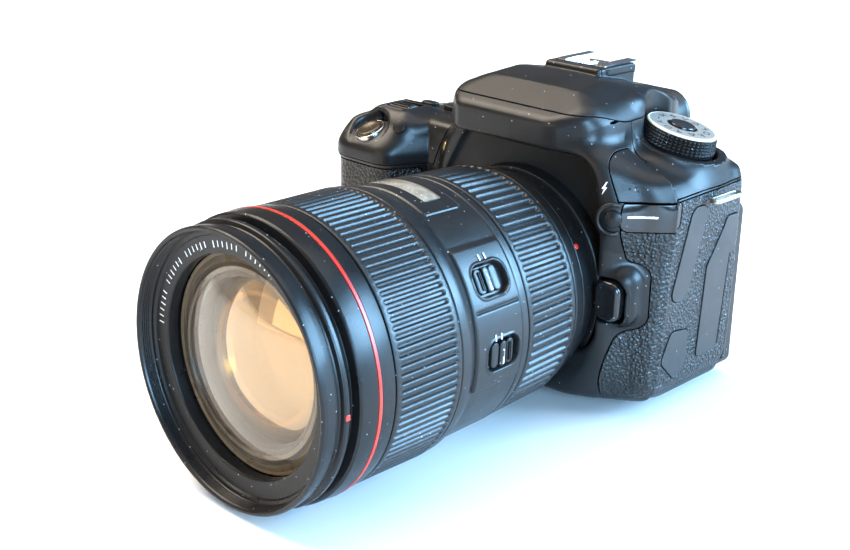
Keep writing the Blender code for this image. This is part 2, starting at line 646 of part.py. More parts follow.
def main():
    for obj in list(bpy.data.objects):
        bpy.data.objects.remove(obj, do_unlink=True)

    black = material("black_plastic", (0.018, 0.018, 0.020), 0.42)
    gloss = material("gloss_black", (0.008, 0.008, 0.009), 0.12)
    rubber = material("black_rubber", (0.022, 0.022, 0.023), 0.75)
    steel = material("bright_steel", (0.78, 0.77, 0.75), 0.25, 1.0)
    silver = material("silver_plastic", (0.55, 0.55, 0.54), 0.35, 0.6)
    glass = material("coated_glass", (0.62, 0.55, 0.45), 0.05)
    mirror = material("mirror", (0.9, 0.9, 0.92), 0.03, 1.0)
    board = material("circuit_board", (0.02, 0.16, 0.07), 0.5)
    blue = material("deep_blue", (0.02, 0.04, 0.12), 0.2)
    amber = material("amber_lamp", (0.45, 0.30, 0.10), 0.2)

    make_shells(black, rubber)
    make_doors(black, rubber)
    make_hardware(steel, gloss)
    make_flash(black, glass)
    make_controls(black, gloss, silver, glass, amber)
    make_inside(black, board, glass, mirror, blue)
    make_lens(black, rubber, glass)


main()
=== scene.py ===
"""The looks of the reflex camera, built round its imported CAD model.

The body is one smooth form, given by a distance field in millimetres, meshed once and then cut along its
seams into shells with real gaps. The lens is turned from profiles, with its ribs cut by a formula.
"""

import json
import math

import bmesh
import bpy
import numpy as np
from mathutils import Matrix, Vector


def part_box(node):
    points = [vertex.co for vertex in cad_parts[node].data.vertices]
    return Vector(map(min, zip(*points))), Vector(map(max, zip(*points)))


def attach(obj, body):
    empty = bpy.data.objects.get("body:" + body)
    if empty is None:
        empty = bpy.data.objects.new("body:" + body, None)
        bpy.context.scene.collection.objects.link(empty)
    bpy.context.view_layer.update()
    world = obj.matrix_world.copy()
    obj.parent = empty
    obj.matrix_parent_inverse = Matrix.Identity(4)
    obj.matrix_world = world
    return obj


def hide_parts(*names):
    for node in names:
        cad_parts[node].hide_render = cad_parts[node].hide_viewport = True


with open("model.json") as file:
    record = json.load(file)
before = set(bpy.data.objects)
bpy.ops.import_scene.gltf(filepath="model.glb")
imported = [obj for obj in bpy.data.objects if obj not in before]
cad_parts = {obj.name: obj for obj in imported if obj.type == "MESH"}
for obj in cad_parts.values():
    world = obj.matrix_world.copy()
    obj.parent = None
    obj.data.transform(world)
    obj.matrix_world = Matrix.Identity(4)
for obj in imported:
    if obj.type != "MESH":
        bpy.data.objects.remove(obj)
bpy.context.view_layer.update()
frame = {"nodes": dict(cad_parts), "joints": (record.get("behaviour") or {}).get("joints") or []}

MM = 0.001
TAU = math.tau


def mm_box(node):
    """A CAD node's box in millimetres."""
    low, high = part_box(node)
    return np.array(low) / MM, np.array(high) / MM


def joint(name):
    return next(j for j in frame["joints"] if j["name"] == name)


# Places read from the CAD, in millimetres
AXIS_Z = joint("lens_bayonet")["pos_m"][2] / MM
DECK_Z = mm_box("top_display_window")[1][2]
REAR_Y = mm_box("rear_cover")[1][1]
DIAL_TOP = np.array(joint("mode_dial_turn")["pos_m"]) / MM
DIAL_AXIS = np.array(joint("mode_dial_turn")["axis"])
DIAL_SEAT = np.array(joint("power_switch_turn")["pos_m"]) / MM
SHUTTER_AXIS = -np.array(joint("shutter_press")["axis"])
SHUTTER_AT = np.array([-65.4, -46.0, 75.0])


# ---------------------------------------------------------------- distance fields

def smooth_min(a, b, k):
    h = np.clip(0.5 + 0.5 * (b - a) / k, 0, 1)
    return b * (1 - h) + a * h - k * h * (1 - h)


def smooth_max(a, b, k):
    return -smooth_min(-a, -b, k)


def ramp(value, start, end):
    t = np.clip((value - start) / (end - start), 0, 1)
    return t * t * (3 - 2 * t)


def polygon(a, b, points, radius=0.0):
    """Signed distance to a closed outline whose outer corners are rounded by radius."""
    points = shrink(points, radius) if radius else points
    count = len(points)
    best = np.full(np.broadcast(a, b).shape, 1e9, np.float32)
    inside = np.zeros(best.shape, bool)
    for i in range(count):
        (ax, ay), (bx, by) = points[i - 1], points[i]
        ex, ey = bx - ax, by - ay
        wx, wy = a - ax, b - ay
        t = np.clip((wx * ex + wy * ey) / (ex * ex + ey * ey), 0, 1)
        best = np.minimum(best, (wx - ex * t) ** 2 + (wy - ey * t) ** 2)
        crosses = ((ay > b) != (by > b)) & (a < ex * (b - ay) / (by - ay + 1e-12) + ax)
        inside ^= crosses
    distance = np.sqrt(best)
    return np.where(inside, -distance, distance) - radius


def shrink(points, distance):
    """An anticlockwise outline moved inwards."""
    moved = []
    count = len(points)
    for i, here in enumerate(points):
        into = np.subtract(here, points[i - 1])
        away = np.subtract(points[(i + 1) % count], here)
        into = into / np.hypot(*into)
        away = away / np.hypot(*away)
        n1 = np.array([-into[1], into[0]])
        n2 = np.array([-away[1], away[0]])
        moved.append(tuple(np.add(here, (n1 + n2) / (1 + n1 @ n2) * distance)))
    return moved


def round_box(x, y, z, centre, half, radius):
    qx = np.abs(x - centre[0]) - half[0] + radius
    qy = np.abs(y - centre[1]) - half[1] + radius
    qz = np.abs(z - centre[2]) - half[2] + radius
    outside = np.sqrt(np.maximum(qx, 0) ** 2 + np.maximum(qy, 0) ** 2 + np.maximum(qz, 0) ** 2)
    return outside + np.minimum(np.maximum(qx, np.maximum(qy, qz)), 0) - radius


def cylinder_field(x, y, z, base, axis, radius, height):
    dx, dy, dz = x - base[0], y - base[1], z - base[2]
    along = dx * axis[0] + dy * axis[1] + dz * axis[2]
    across = np.sqrt(np.maximum(dx * dx + dy * dy + dz * dz - along * along, 0))
    return np.maximum(across - radius, np.maximum(-along, along - height))


PLAN = [(-78, -52.0), (-54, -52.0), (-46, -37), (53.2, -37), (50.4, 12.4), (-77, 12.4), (-80.4, -28)]
SIDE = [(-53, 4), (-38, 4), (-24, 0), (13, 0), (13, DECK_Z), (-32, DECK_Z + 0.4), (-43, 79.6), (-53, 70.5)]
FACE = [(-81.4, -4), (33, -4), (46, 4.5), (51.5, 15), (54.5, 34), (54.5, 70), (48, 77), (37, 82.4), (28, DECK_Z + 1),
        (-74, DECK_Z + 1), (-81.4, 76)]
HUMP_FACE = [(-42, 60), (42, 60), (37.5, 78), (31, 94.5), (26, 98.6), (17.5, 103.2), (0, 104.9),
             (-17.5, 103.2), (-26, 98.6), (-31, 94.5), (-37.5, 78)]
HUMP_PLAN = [(-21, -50.8), (17, -50.8), (33, -41.5), (29.5, -19), (23, 8), (20, 15), (-20, 15), (-23, 8), (-31, -20),
             (-31, -42)]
HUMP_SIDE = [(-51, 84.6), (-38, 84.0), (-30, 60), (16, 60), (16, 91.6), (6, 94.8), (-6, 99.6), (-17, 102.0),
             (-25, 104.2), (-37, 101.8), (-51.4, 93.6)]
ARCH = [(-36, 5), (37, 5), (38, 74), (32, 86), (-36, 86)]
MOUTH = [(-34, 22), (35.4, 22), (35.4, 62), (31.5, 84.4), (-24, 84.4), (-34, 66)]
MOUTH_CORNER = 9.0
ARCH_FRONT, ARCH_REAR, POCKET_FLOOR = -46.8, -32.0, -39.0
BOSS_R, BOSS_FRONT = 35.3, 44.2
SIDE_X, SIDE_LEAN = 48.6, 0.045         # flat port side, leaning out towards the top
DECK_FALL, DECK_OUTER_FALL = 0.15, 0.16
DECK_NORMAL = np.array([0, DECK_FALL, 1.0])
SHOE_LOW, SHOE_HIGH = mm_box("hot_shoe")
RELEASE = np.mean(mm_box("lens_release_button"), 0)
DIAL_MIDDLE = np.mean(mm_box("main_dial"), 0)
WHEEL_HALF, WHEEL_R = 4.9, 5.6          # main dial
FLASH_BUTTON = (39.8, 67.8)             # x and z


DISPLAY_START = -60.0                   # the display's edge beside the grip
MONITOR_TRIM = 2.4                      # the monitor is this much narrower on its hinge side than in the CAD


def centres(*names):
    return {name: np.mean(mm_box(name), 0) for name in names}


TOP_BUTTONS = centres("af_mode_button", "drive_mode_button", "iso_button", "metering_button")
REAR_DISCS = centres("live_view_button", "af_on_button", "menu_button")


def deck(x, y):
    """Height of the top deck beside the grip, which slopes down to the rear and to the outer side."""
    return DECK_Z + 0.6 - DECK_FALL * np.maximum(0, y + 24) - DECK_OUTER_FALL * np.maximum(0, -58 - x)


def body_field(x, y, z):
    """The whole outer form of the body."""
    block = polygon(x, y, PLAN, 8.0)
    block = smooth_max(block, polygon(y, z, SIDE, 5.0), 5.0)
    block = smooth_max(block, polygon(x, z, FACE, 6.0), 4.0)
    block = np.maximum(block, x - (SIDE_X + SIDE_LEAN * z))
    block = smooth_max(block, z - deck(x, y), 3.0)

    # slope of the base up to the front edge, on the port side
    chin = (-(y + 21) * 9 - z * 16) / 18.4
    block = smooth_max(block, np.where(x > 0, chin - 8 * ramp(-x, -24, -4), -20.0), 4.0)

    # hump over the prism, with a softer front corner on the port side
    hump = polygon(x, z, HUMP_FACE, 2.0)
    hump = smooth_max(hump, np.where(x > 0, polygon(x, y, HUMP_PLAN, 12.0), polygon(x, y, HUMP_PLAN, 5.0)), 5.0)
    hump = smooth_max(hump, polygon(y, z, HUMP_SIDE, 2.0), 2.5)
    bosses = np.sqrt((np.abs(x) - 25.0) ** 2 + ((y + 19.0) / 1.7) ** 2 + ((z - 95.8) / 1.1) ** 2) - 2.6
    hump = smooth_min(hump, bosses, 2.0)
    form = smooth_min(block, hump, np.where(x > 0, 6.5, 5.0))
    form = smooth_min(form, mount_bulge(x, y, z), 3.5)

    # housing of the lens release button
    housing = round_box(x, y, z, (37.6, -36, 42.8), (9.6, 9.8, 9.9), 5.5)
    form = smooth_min(form, housing, 2.0)

    # deep recess between the arch and the lens
    pocket = smooth_max(polygon(x, z, MOUTH, MOUTH_CORNER), y - POCKET_FLOOR, 1.5)
    form = smooth_max(form, -pocket, 1.8)

    # raised seat of the mode dial
    seat = cylinder_field(x, y, z, DIAL_SEAT - DIAL_AXIS * 14, DIAL_AXIS, 15.6, 16.6)
    form = smooth_min(form, seat, 6.0)

    # housing of the main dial
    bump = round_box(x, y, z, (DIAL_MIDDLE[0], -34, 78.6), (9.5, 8.5, 4.4), 4.0)
    form = smooth_min(form, bump, 4.0)

    # thumb rest behind the grip
    thumb = round_box(x, y, z, (-70, 9, 60), (9, 7.5, 11), 5.0)
    form = smooth_min(form, thumb, 5.0)

    # surround of the accessory shoe, sloping down behind it
    middle = (SHOE_LOW + SHOE_HIGH) / 2
    surround = round_box(x, y, z, (0, -9.6, 97), (11.2, 9.9, 7.9), 1.2)
    behind = (y - 0.4) * 0.93 + (z - 105) * 0.36
    surround = smooth_max(surround, behind, 1.6)
    form = smooth_min(form, surround, 1.0)
    slot = round_box(x, y, z, (middle[0], middle[1] + 10, 106), (10.2, 18.6, 3.9), 0.4)
    form = smooth_max(form, -slot, 0.3)

    # overhanging lip of the top cover round the grip
    lip = (1 - ramp(x, -50, -36)) * ramp(z, 63.5, 66.5) * (1 - ramp(z, 69, 76)) * (1 - ramp(y, -20, 0))
    form = form - 1.3 * lip
    return carve(form, x, y, z)


def mount_bulge(x, y, z):
    """The raised arch round the lens mount; its flank is steep beside the grip and slants on the port side."""
    square = polygon(x, z, ARCH, 20.0)
    slant = 2.0 + 6.5 * ramp(x, -10, 20)
    front = ARCH_FRONT + 6.0 * ramp(-x, 12, 27) - y
    flank = (9 * square - slant * (y - ARCH_FRONT)) / np.hypot(9, slant)
    bulge = smooth_max(front, flank, 2.6)
    bulge = smooth_max(bulge, np.maximum(4.0 - z, z - 88.0 + 7.0 * ramp(x, 28, 46)), 4.0)
    return smooth_max(bulge, y - ARCH_REAR, 1.0)


def carve(form, x, y, z):
    """Every dish, pocket and well in the body."""
    dish = cylinder_field(x, y, z, SHUTTER_AT + SHUTTER_AXIS * 0.4, SHUTTER_AXIS, 7.4, 20)
    form = smooth_max(form, -dish, 1.4)
    pocket = cylinder_field(x, y, z, DIAL_SEAT, DIAL_AXIS, 13.5, 40)
    form = smooth_max(form, -pocket, 0.8)

    # throat of the lens mount
    form = np.maximum(form, -cylinder_field(x, y, z, (0, -60, AXIS_Z), (0, 1, 0), 26.0, 30))

    # recess of the monitor
    low, high = mm_box("monitor")
    middle, half = (low + high) / 2, (high - low) / 2
    recess = round_box(x, y, z, (middle[0] - 0.7, 20.2, middle[2]), (half[0], 11.7, half[2] + 0.7), 1.6)
    form = smooth_max(form, -recess, 0.6)

    # wells of the buttons and dials
    release = round_box(x, y, z, (RELEASE[0], -50, RELEASE[2]), (5.5, 12, 7.4), 4.0)
    form = smooth_max(form, -release, 0.8)
    for centre in TOP_BUTTONS.values():
        hole = round_box(x, y, z, (centre[0], centre[1], deck(*centre[:2]) + 2.5), (4.0, 2.5, 3.4), 1.8)
        form = smooth_max(form, -hole, 0.5)
    for centre in REAR_DISCS.values():
        hole = cylinder_field(x, y, z, (centre[0], REAR_Y - 1.0, centre[2]), (0, 1, 0), 4.7, 12)
        form = smooth_max(form, -hole, 0.5)
    quick = np.mean(mm_box("quick_control_dial"), 0)
    hole = cylinder_field(x, y, z, (quick[0], REAR_Y - 1.4, quick[2]), (0, 1, 0), 15.0, 12)
    form = smooth_max(form, -hole, 0.6)
    start = (DIAL_MIDDLE[0] - WHEEL_HALF - 0.5, *DIAL_MIDDLE[1:])
    dial = cylinder_field(x, y, z, start, (1, 0, 0), WHEEL_R + 0.9, 2 * WHEEL_HALF + 1.0)
    return smooth_max(form, -dial, 0.6)


# ---------------------------------------------------------------- meshing a field

GRID = 0.75
BODY_LOW = np.array([-90.0, -58.0, -4.0])
BODY_HIGH = np.array([58.0, 24.0, 110.0])


def surface_net(field, low, high, step):
    """Points and quads where the field crosses zero, with the points moved on to the surface."""
    counts = np.ceil((high - low) / step).astype(int) + 1
    axes = [low[k] + step * np.arange(counts[k], dtype=np.float32) for k in range(3)]
    x, y, z = np.meshgrid(*axes, indexing="ij", sparse=True)
    values = np.broadcast_to(field(x, y, z), counts).astype(np.float32)
    inside = values < 0
    total = np.zeros(counts - 1, np.float32)
    place = np.zeros((*(counts - 1), 3), np.float32)
    corner = [(i, j, k) for i in (0, 1) for j in (0, 1) for k in (0, 1)]

    def window(array, c):
        return array[c[0]:array.shape[0] - 1 + c[0], c[1]:array.shape[1] - 1 + c[1], c[2]:array.shape[2] - 1 + c[2]]

    for c in corner:
        for axis in range(3):
            if c[axis]:
                continue
            d = tuple(v + (1 if n == axis else 0) for n, v in enumerate(c))
            a, b = window(values, c), window(values, d)
            crossing = (a < 0) != (b < 0)
            t = np.where(crossing, a / np.where(crossing, a - b, 1), 0)
            total += crossing
            for n in range(3):
                place[..., n] += crossing * (c[n] + (t if n == axis else 0))
    active = total > 0
    index = np.full(active.shape, -1, np.int64)
    index[active] = np.arange(active.sum())
    cells = np.argwhere(active)
    points = low + step * (cells + place[active] / total[active][:, None])

    quads = []
    for axis in range(3):
        u, v = (axis + 1) % 3, (axis + 2) % 3
        first = np.moveaxis(inside, (axis, u, v), (0, 1, 2))
        cell = np.moveaxis(index, (axis, u, v), (0, 1, 2))
        a = first[:-1, 1:-1, 1:-1]
        b = first[1:, 1:-1, 1:-1]
        for flips, mask in ((False, a & ~b), (True, ~a & b)):
            i, j, k = np.nonzero(mask)
            j, k = j + 1, k + 1
            ring = [cell[i, j - 1, k - 1], cell[i, j, k - 1], cell[i, j, k], cell[i, j - 1, k]]
            quads.append(np.stack(ring[::-1] if flips else ring, 1))
    quads = np.concatenate(quads)
    for _ in range(4):
        value, slope = measure(field, points)
        points = points - np.clip(value, -0.4 * step, 0.4 * step)[:, None] * slope
    return points, quads


def measure(field, points, h=0.05):
    """Field value and unit gradient at points."""
    x, y, z = points[:, 0], points[:, 1], points[:, 2]
    value = field(x, y, z)
    slope = np.stack([field(x + h, y, z) - field(x - h, y, z), field(x, y + h, z) - field(x, y - h, z),
                      field(x, y, z + h) - field(x, y, z - h)], 1) / (2 * h)
    size = np.linalg.norm(slope, axis=1, keepdims=True)
    return value / np.maximum(size[:, 0], 0.3), slope / np.maximum(size, 1e-6)


def to_triangles(quads):
    return np.concatenate([quads[:, [0, 1, 2]], quads[:, [0, 2, 3]]])


def clip_surface(points, triangles, field, level=0.0):
    """The part of a triangle mesh where the field is below a level, cut exactly along that level."""
    value = field(points[:, 0], points[:, 1], points[:, 2]) - level
    value = np.where(np.abs(value) < 1e-5, 1e-5, value)
    sign = value[triangles] < 0
    count = sign.sum(1)
    kept = [triangles[count == 3]]
    made, keys = [points], {}
    offset = len(points)
    for wanted in (1, 2):
        part = triangles[count == wanted]
        flags = value[part] < 0
        odd = np.argmax(flags if wanted == 1 else ~flags, 1)
        rows = np.arange(len(part))
        a = part[rows, odd]
        b = part[rows, (odd + 1) % 3]
        c = part[rows, (odd + 2) % 3]
        cross = []
        for other in (b, c):
            lo, hi = np.minimum(a, other), np.maximum(a, other)
            code = lo * (1 << 32) + hi
            unique, first, inverse = np.unique(code, return_index=True, return_inverse=True)
            known = np.array([keys.get(int(k), -1) for k in unique], np.int64)
            fresh = known < 0
            known[fresh] = offset + np.arange(fresh.sum())
            i, j = lo[first[fresh]], hi[first[fresh]]
            t = (value[i] / (value[i] - value[j]))[:, None]
            made.append(points[i] * (1 - t) + points[j] * t)
            keys.update(zip(unique[fresh].tolist(), known[fresh].tolist()))
            offset += int(fresh.sum())
            cross.append(known[inverse])
        p, q = cross
        if wanted == 1:
            kept.append(np.stack([a, p, q], 1))
        else:
            kept.append(np.stack([p, b, c], 1))
            kept.append(np.stack([p, c, q], 1))
    triangles = np.concatenate(kept)
    points = np.concatenate(made)
    used, inverse = np.unique(triangles, return_inverse=True)
    return points[used], inverse.reshape(-1, 3)


def boundary_edges(triangles):
    edges = np.concatenate([triangles[:, [0, 1]], triangles[:, [1, 2]], triangles[:, [2, 0]]])
    code = edges[:, 0] * (1 << 32) + edges[:, 1]
    back = edges[:, 1] * (1 << 32) + edges[:, 0]
    return edges[~np.isin(code, back)]


def make_mesh(name, points, faces, normals=None):
    """Blender object from millimetre points; faces is a list of index arrays."""
    mesh = bpy.data.meshes.new(name)
    mesh.from_pydata((np.asarray(points) * MM).tolist(), [], [f for part in faces for f in part.tolist()])
    mesh.shade_smooth()
    if normals is not None:
        mesh.normals_split_custom_set_from_vertices(normals.tolist())
    obj = bpy.data.objects.new(name, mesh)
    bpy.context.scene.collection.objects.link(obj)
    return obj


EDGE_ROUND = 0.16


def shell(name, points, triangles, field, thickness=1.4):
    """A closed shell: the surface, a rounded edge, a rim and an inner face."""
    slope = measure(field, points)[1]
    edges = boundary_edges(triangles)
    rim = np.unique(edges)
    place = {int(v): n for n, v in enumerate(rim)}
    count, extra = len(points), len(rim)
    outward = np.zeros_like(points)
    for a, b in edges:
        along = points[b] - points[a]
        side = np.cross(along, slope[a])
        outward[a] += side
        outward[b] += side
    size = np.linalg.norm(outward, axis=1, keepdims=True)
    outward = outward / np.maximum(size, 1e-9)
    top = points.copy()
    top[rim] = points[rim] - outward[rim] * EDGE_ROUND
    turn = points[rim] - outward[rim] * EDGE_ROUND * 0.3 - slope[rim] * EDGE_ROUND * 0.3
    wall = points[rim] - slope[rim] * EDGE_ROUND
    foot = points[rim] - slope[rim] * thickness
    under = points - slope * thickness
    every = np.concatenate([top, turn, wall, wall, foot, under])
    corner = (slope[rim] + outward[rim]) / np.linalg.norm(slope[rim] + outward[rim], axis=1, keepdims=True)
    normals = np.concatenate([slope, corner, outward[rim], outward[rim], outward[rim], -slope])
    ids = np.array([[place[int(a)], place[int(b)]] for a, b in edges]).reshape(-1, 2)
    a, b = ids[:, 0], ids[:, 1]
    ring = [count, count + extra, count + 2 * extra, count + 3 * extra]
    quads = [np.stack([edges[:, 1], edges[:, 0], ring[0] + a, ring[0] + b], 1)]
    quads.append(np.stack([ring[0] + b, ring[0] + a, ring[1] + a, ring[1] + b], 1))
    quads.append(np.stack([ring[1] + b, ring[1] + a, ring[3] + a, ring[3] + b], 1))
    base = count + 4 * extra
    quads.append(np.stack([ring[3] + b, ring[3] + a, base + edges[:, 0], base + edges[:, 1]], 1))
    keep = every
    return make_mesh(name, keep, [triangles, *quads, triangles[:, ::-1] + base], normals)


# ---------------------------------------------------------------- seams of the body

SEAM = 0.12                    # half the width of a seam


def lid_region(x, y, z):
    """Negative on the flash lid, whose cheeks reach back on both sides."""
    seam = 96.4 - 3.6 * ramp(y, -44, -26)
    back = -17.8 + 3.6 * ramp(np.abs(x), 15, 25) * ramp(-z, -101, -97)
    corner = np.hypot(np.maximum(y - back + 5, 0), np.maximum(seam + 5 - z, 0)) - 5
    return np.maximum(np.maximum(seam - z, y - back), corner)


def front_housing_region(x, y, z):
    """Negative on the front cover, which rises under the flash lid between two side seams."""
    side = polygon(x, z, [(-45, 60), (45, 60), (40.6, 73), (35.2, 84), (30.2, 94), (29, 100), (-29, 100),
                          (-30.2, 94), (-35.2, 84), (-40.6, 73)])
    return np.maximum(side, y + 26)


def top_region(x, y, z):
    """Negative on the top cover."""
    step = 66.0 + 7.0 * ramp(x, -33, -27)
    region = np.maximum(step - z, -front_housing_region(x, y, z))
    rear = np.maximum(73.0 - z, 4.0 - y)
    return np.where(y > 4.0, rear, region)


def badge_region(x, y, z):
    face = polygon(x, z, [(41.6, 63.8), (70, 63.8), (70, 73.6), (41.6, 73.6)], 2.2)
    end = polygon(y, z, [(-60, 63.4), (-27.6, 63.4), (-27.6, 72.6), (-60, 72.6)], 2.2)
    return np.maximum(face, end)


TERMINAL = [(-9.8, 15.5), (1.6, 15.5), (1.8, 24.5), (2.4, 48.8), (5.6, 49), (5.8, 62), (-1, 62), (-10, 47)]
AUDIO = [(-28.6, 38.6), (-19.6, 38.6), (-12.4, 69), (-21.6, 69)]
REMOTE = [(-20.5, 10.4), (-15.2, 16), (-16, 27.6), (-25.5, 28.8), (-29.6, 19)]


def side_cover(outline, radius):
    def region(x, y, z):
        return np.maximum(polygon(y, z, outline, radius), 40 - x)
    return region


def battery_region(x, y, z):
    low, high = mm_box("battery_door")
    return np.maximum(round_box(x, y, z, ((low[0] + high[0]) / 2, (low[1] + high[1]) / 2, 0),
                                ((high[0] - low[0]) / 2, (high[1] - low[1]) / 2, 60), 2.0), z - 1.0)


def card_region(x, y, z):
    low, high = mm_box("card_door")
    return np.maximum(polygon(y, z, [(low[1], low[2]), (high[1], low[2]), (high[1], high[2]), (low[1], high[2])], 2.5),
                      x + 70)


def port_rubber_region(x, y, z):
    """Negative on the rubber of the port side, which wraps round to the front beside the mount."""
    edge = np.interp(z, [4, 12, 29, 33, 50, 56, 63], [35.5, 36.5, 41.0, 44.0, 44.0, 42.4, 41.8])
    front = np.maximum(edge - x, y + 25)
    side = np.maximum(44 - x, -y - 26)
    region = smooth_min(front, side, 0.5)
    region = np.maximum(region, np.maximum(7.5 - z, z - 72.2))
    region = np.maximum(region, y - 7.2)
    housing = round_box(x, y, z, (37.0, -36, 42.8), (11.8, 9, 11.0), 5.0)
    return smooth_max(region, -housing, 2.0)


def grip_rubber_region(x, y, z):
    """Negative on the rubber round the grip."""
    inner = x + np.interp(z, [0, 20, 60, 66], [46.0, 46.5, 46.5, 47.5])
    region = np.maximum(np.maximum(inner, 5.4 - z), z - 64.6)
    rear = y + 12.6
    return np.maximum(region, rear)


def thumb_rubber_region(x, y, z):
    """Negative on the rubber pad under the thumb."""
    pad = polygon(x, z, [(-92, 44), (-60, 44), (-57, 52), (-57, 70), (-92, 70)], 4.0)
    return np.maximum(pad, 6.0 - y)


# name, CAD node, body, material, region, how far it stands proud
INSERTS = [
    ("flash_lid", "flash_head", "flash_head", "body", lid_region, 0.0),
    ("badge", "badge_plate", "camera_body", "badge", badge_region, 0.05),
    ("terminal_flap", "terminal_cover", "terminal_cover", "cover", side_cover(TERMINAL, 1.6), 0.5),
    ("audio_flap", "audio_cover", "audio_cover", "cover", side_cover(AUDIO, 3.6), 0.5),
    ("remote_flap", "remote_cover", "remote_cover", "cover", side_cover(REMOTE, 2.4), 0.5),
    ("card_flap", "card_door", "card_door", "body", card_region, 0.05),
    ("battery_flap", "battery_door", "battery_door", "body", battery_region, 0.05),
    ("port_rubber", "side_rubber", "camera_body", "leather", port_rubber_region, 0.2),
    ("grip_leather", "grip_rubber", "camera_body", "leather", grip_rubber_region, 0.3),
    ("thumb_leather", None, "camera_body", "leather", thumb_rubber_region, 0.2),
]


def cut_body():
    """The body's surface in pieces, as (name, node, body, material, points, triangles)."""
    points, quads = surface_net(body_field, BODY_LOW, BODY_HIGH, GRID)
    rest = (points, to_triangles(quads))
    print("body surface", len(points), "points")
    made = []
    for name, node, body, look, region, proud in INSERTS:
        part, triangles = clip_surface(*rest, region, -SEAM)
        part = part + measure(body_field, part)[1] * proud
        made.append((name, node, body, look, part, triangles))
        rest = clip_surface(*rest, lambda x, y, z: -region(x, y, z), -SEAM)
    covers = [
        ("top_shell", "top_cover", top_region),
        ("base_shell", "base_plate", lambda x, y, z: z - 3.4),
        ("front_shell", "front_cover", lambda x, y, z: y - 5.0),
    ]
    for name, node, region in covers:
        made.append((name, node, "camera_body", "body", *clip_surface(*rest, region, -SEAM)))
        rest = clip_surface(*rest, lambda x, y, z: -region(x, y, z), -SEAM)
    made.append(("rear_shell", "rear_cover", "camera_body", "body", *rest))
    return made


def dress(obj, look, body, slot, *nodes):
    """Give a piece its material and body, and hide the CAD nodes that it stands for; slot is not used."""
    obj.data.materials.append(MATERIALS[look])
    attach(obj, body)
    if nodes:
        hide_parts(*nodes)
    return obj


SLOTS = {"body": "body_plastic", "leather": "body_rubber", "cover": "cover_rubber", "badge": "gloss_black"}


def build_body():
    for name, node, body, look, points, triangles in cut_body():
        obj = shell(name, points, triangles, body_field)
        dress(obj, look, body, SLOTS[look], *([node] if node else []))
        if look == "body" and name != "rear_shell":
            shade_pocket(obj)


def shade_pocket(obj):
    """Painted shade: a darker, duller material on the faces inside the recess round the mount."""
    obj.data.materials.append(MATERIALS["matt"])
    count = len(obj.data.polygons)
    middle = np.empty(count * 3)
    obj.data.polygons.foreach_get("center", middle)
    x, y, z = middle.reshape(-1, 3).T / MM
    # faces inside the mount recess, which take the matt material as painted shade
    deep = (polygon(x, z, MOUTH, MOUTH_CORNER) < 0.4) & (y > -46.0) & (y < -30) & (z < 86)
    obj.data.polygons.foreach_set("material_index", deep.astype(np.int32))


# ---------------------------------------------------------------- turned, pressed and moulded pieces

def axes(axis, side=(1, 0, 0)):
    """Three unit vectors: across, across, along."""
    w = np.array(axis, float) / np.linalg.norm(axis)
    u = np.array(side, float) - np.dot(side, w) * w
    if np.linalg.norm(u) < 0.1:
        u = np.array((0, 0, 1.0)) - w[2] * w
    u /= np.linalg.norm(u)
    return u, np.cross(w, u), w


def put(local, origin, axis, side=(1, 0, 0)):
    u, v, w = axes(axis, side)
    local = np.asarray(local, float)
    return np.asarray(origin) + local[:, :1] * u + local[:, 1:2] * v + local[:, 2:3] * w


def solid(name, points, faces, crease=32.0):
    """A closed mesh with its faces turned outwards and its edges sharp above an angle."""
    bm = bmesh.new()
    verts = [bm.verts.new(Vector(p) * MM) for p in np.asarray(points, float).tolist()]
    for face in faces:
        ring = [verts[int(i)] for n, i in enumerate(face) if i != face[n - 1]]
        if len(ring) > 2:
            bm.faces.new(ring)
    if bm.calc_volume(signed=True) < 0:
        bmesh.ops.reverse_faces(bm, faces=bm.faces)
    mesh = bpy.data.meshes.new(name)
    bm.to_mesh(mesh)
    bm.free()
    mesh.shade_smooth()
    mesh.set_sharp_from_angle(angle=math.radians(crease))
    obj = bpy.data.objects.new(name, mesh)
    bpy.context.scene.collection.objects.link(obj)
    return obj


def grid_faces(rows, columns, wrap_rows=False):
    """Quads of a grid that closes on itself across its columns."""
    faces = []
    for i in range(rows if wrap_rows else rows - 1):
        a, b = i * columns, (i + 1) % rows * columns
        for j in range(columns):
            k = (j + 1) % columns
            faces.append((a + j, a + k, b + k, b + j))
    return faces


def turned(name, profile, origin, axis, steps=96, closed=False, shape=None, angles=None, crease=32.0):
    """A turned solid; profile is (along, radius), and shape(along, angle, radius) may change the radius."""
    profile = np.asarray(profile, float)
    angle = np.arange(steps) * TAU / steps if angles is None else angles
    along = np.repeat(profile[:, :1], len(angle), 1)
    radius = np.repeat(profile[:, 1:2], len(angle), 1)
    if shape:
        radius = shape(along, angle[None, :], radius)
    local = np.stack([radius * np.cos(angle), radius * np.sin(angle), along], -1)
    rows, columns = radius.shape
    points = put(local.reshape(-1, 3), origin, axis)
    faces = grid_faces(rows, columns, closed)
    if not closed:
        faces.append(tuple(range(columns)))
        faces.append(tuple(reversed(range((rows - 1) * columns, rows * columns))))
    return solid(name, points, faces, crease)


def rounded_profile(profile, radius=0.25, steps=3):
    """A profile with small rounds at its corners; the ends stay put."""
    made = [profile[0]]
    for before, here, after in zip(profile, profile[1:], profile[2:]):
        a, b, c = (np.array(p, float) for p in (before, here, after))
        r = min(radius, 0.4 * np.linalg.norm(a - b), 0.4 * np.linalg.norm(c - b))
        start = b + (a - b) / np.linalg.norm(a - b) * r
        end = b + (c - b) / np.linalg.norm(c - b) * r
        for t in np.linspace(0, 1, steps + 1):
            made.append(tuple((1 - t) ** 2 * start + 2 * t * (1 - t) * b + t * t * end))
    made.append(profile[-1])
    return made


def ring_profile(profile, radius=0.2, steps=3):
    """The same for a closed profile."""
    wrapped = [profile[-1], *profile, profile[0]]
    return rounded_profile(wrapped, radius, steps)[1:-1]


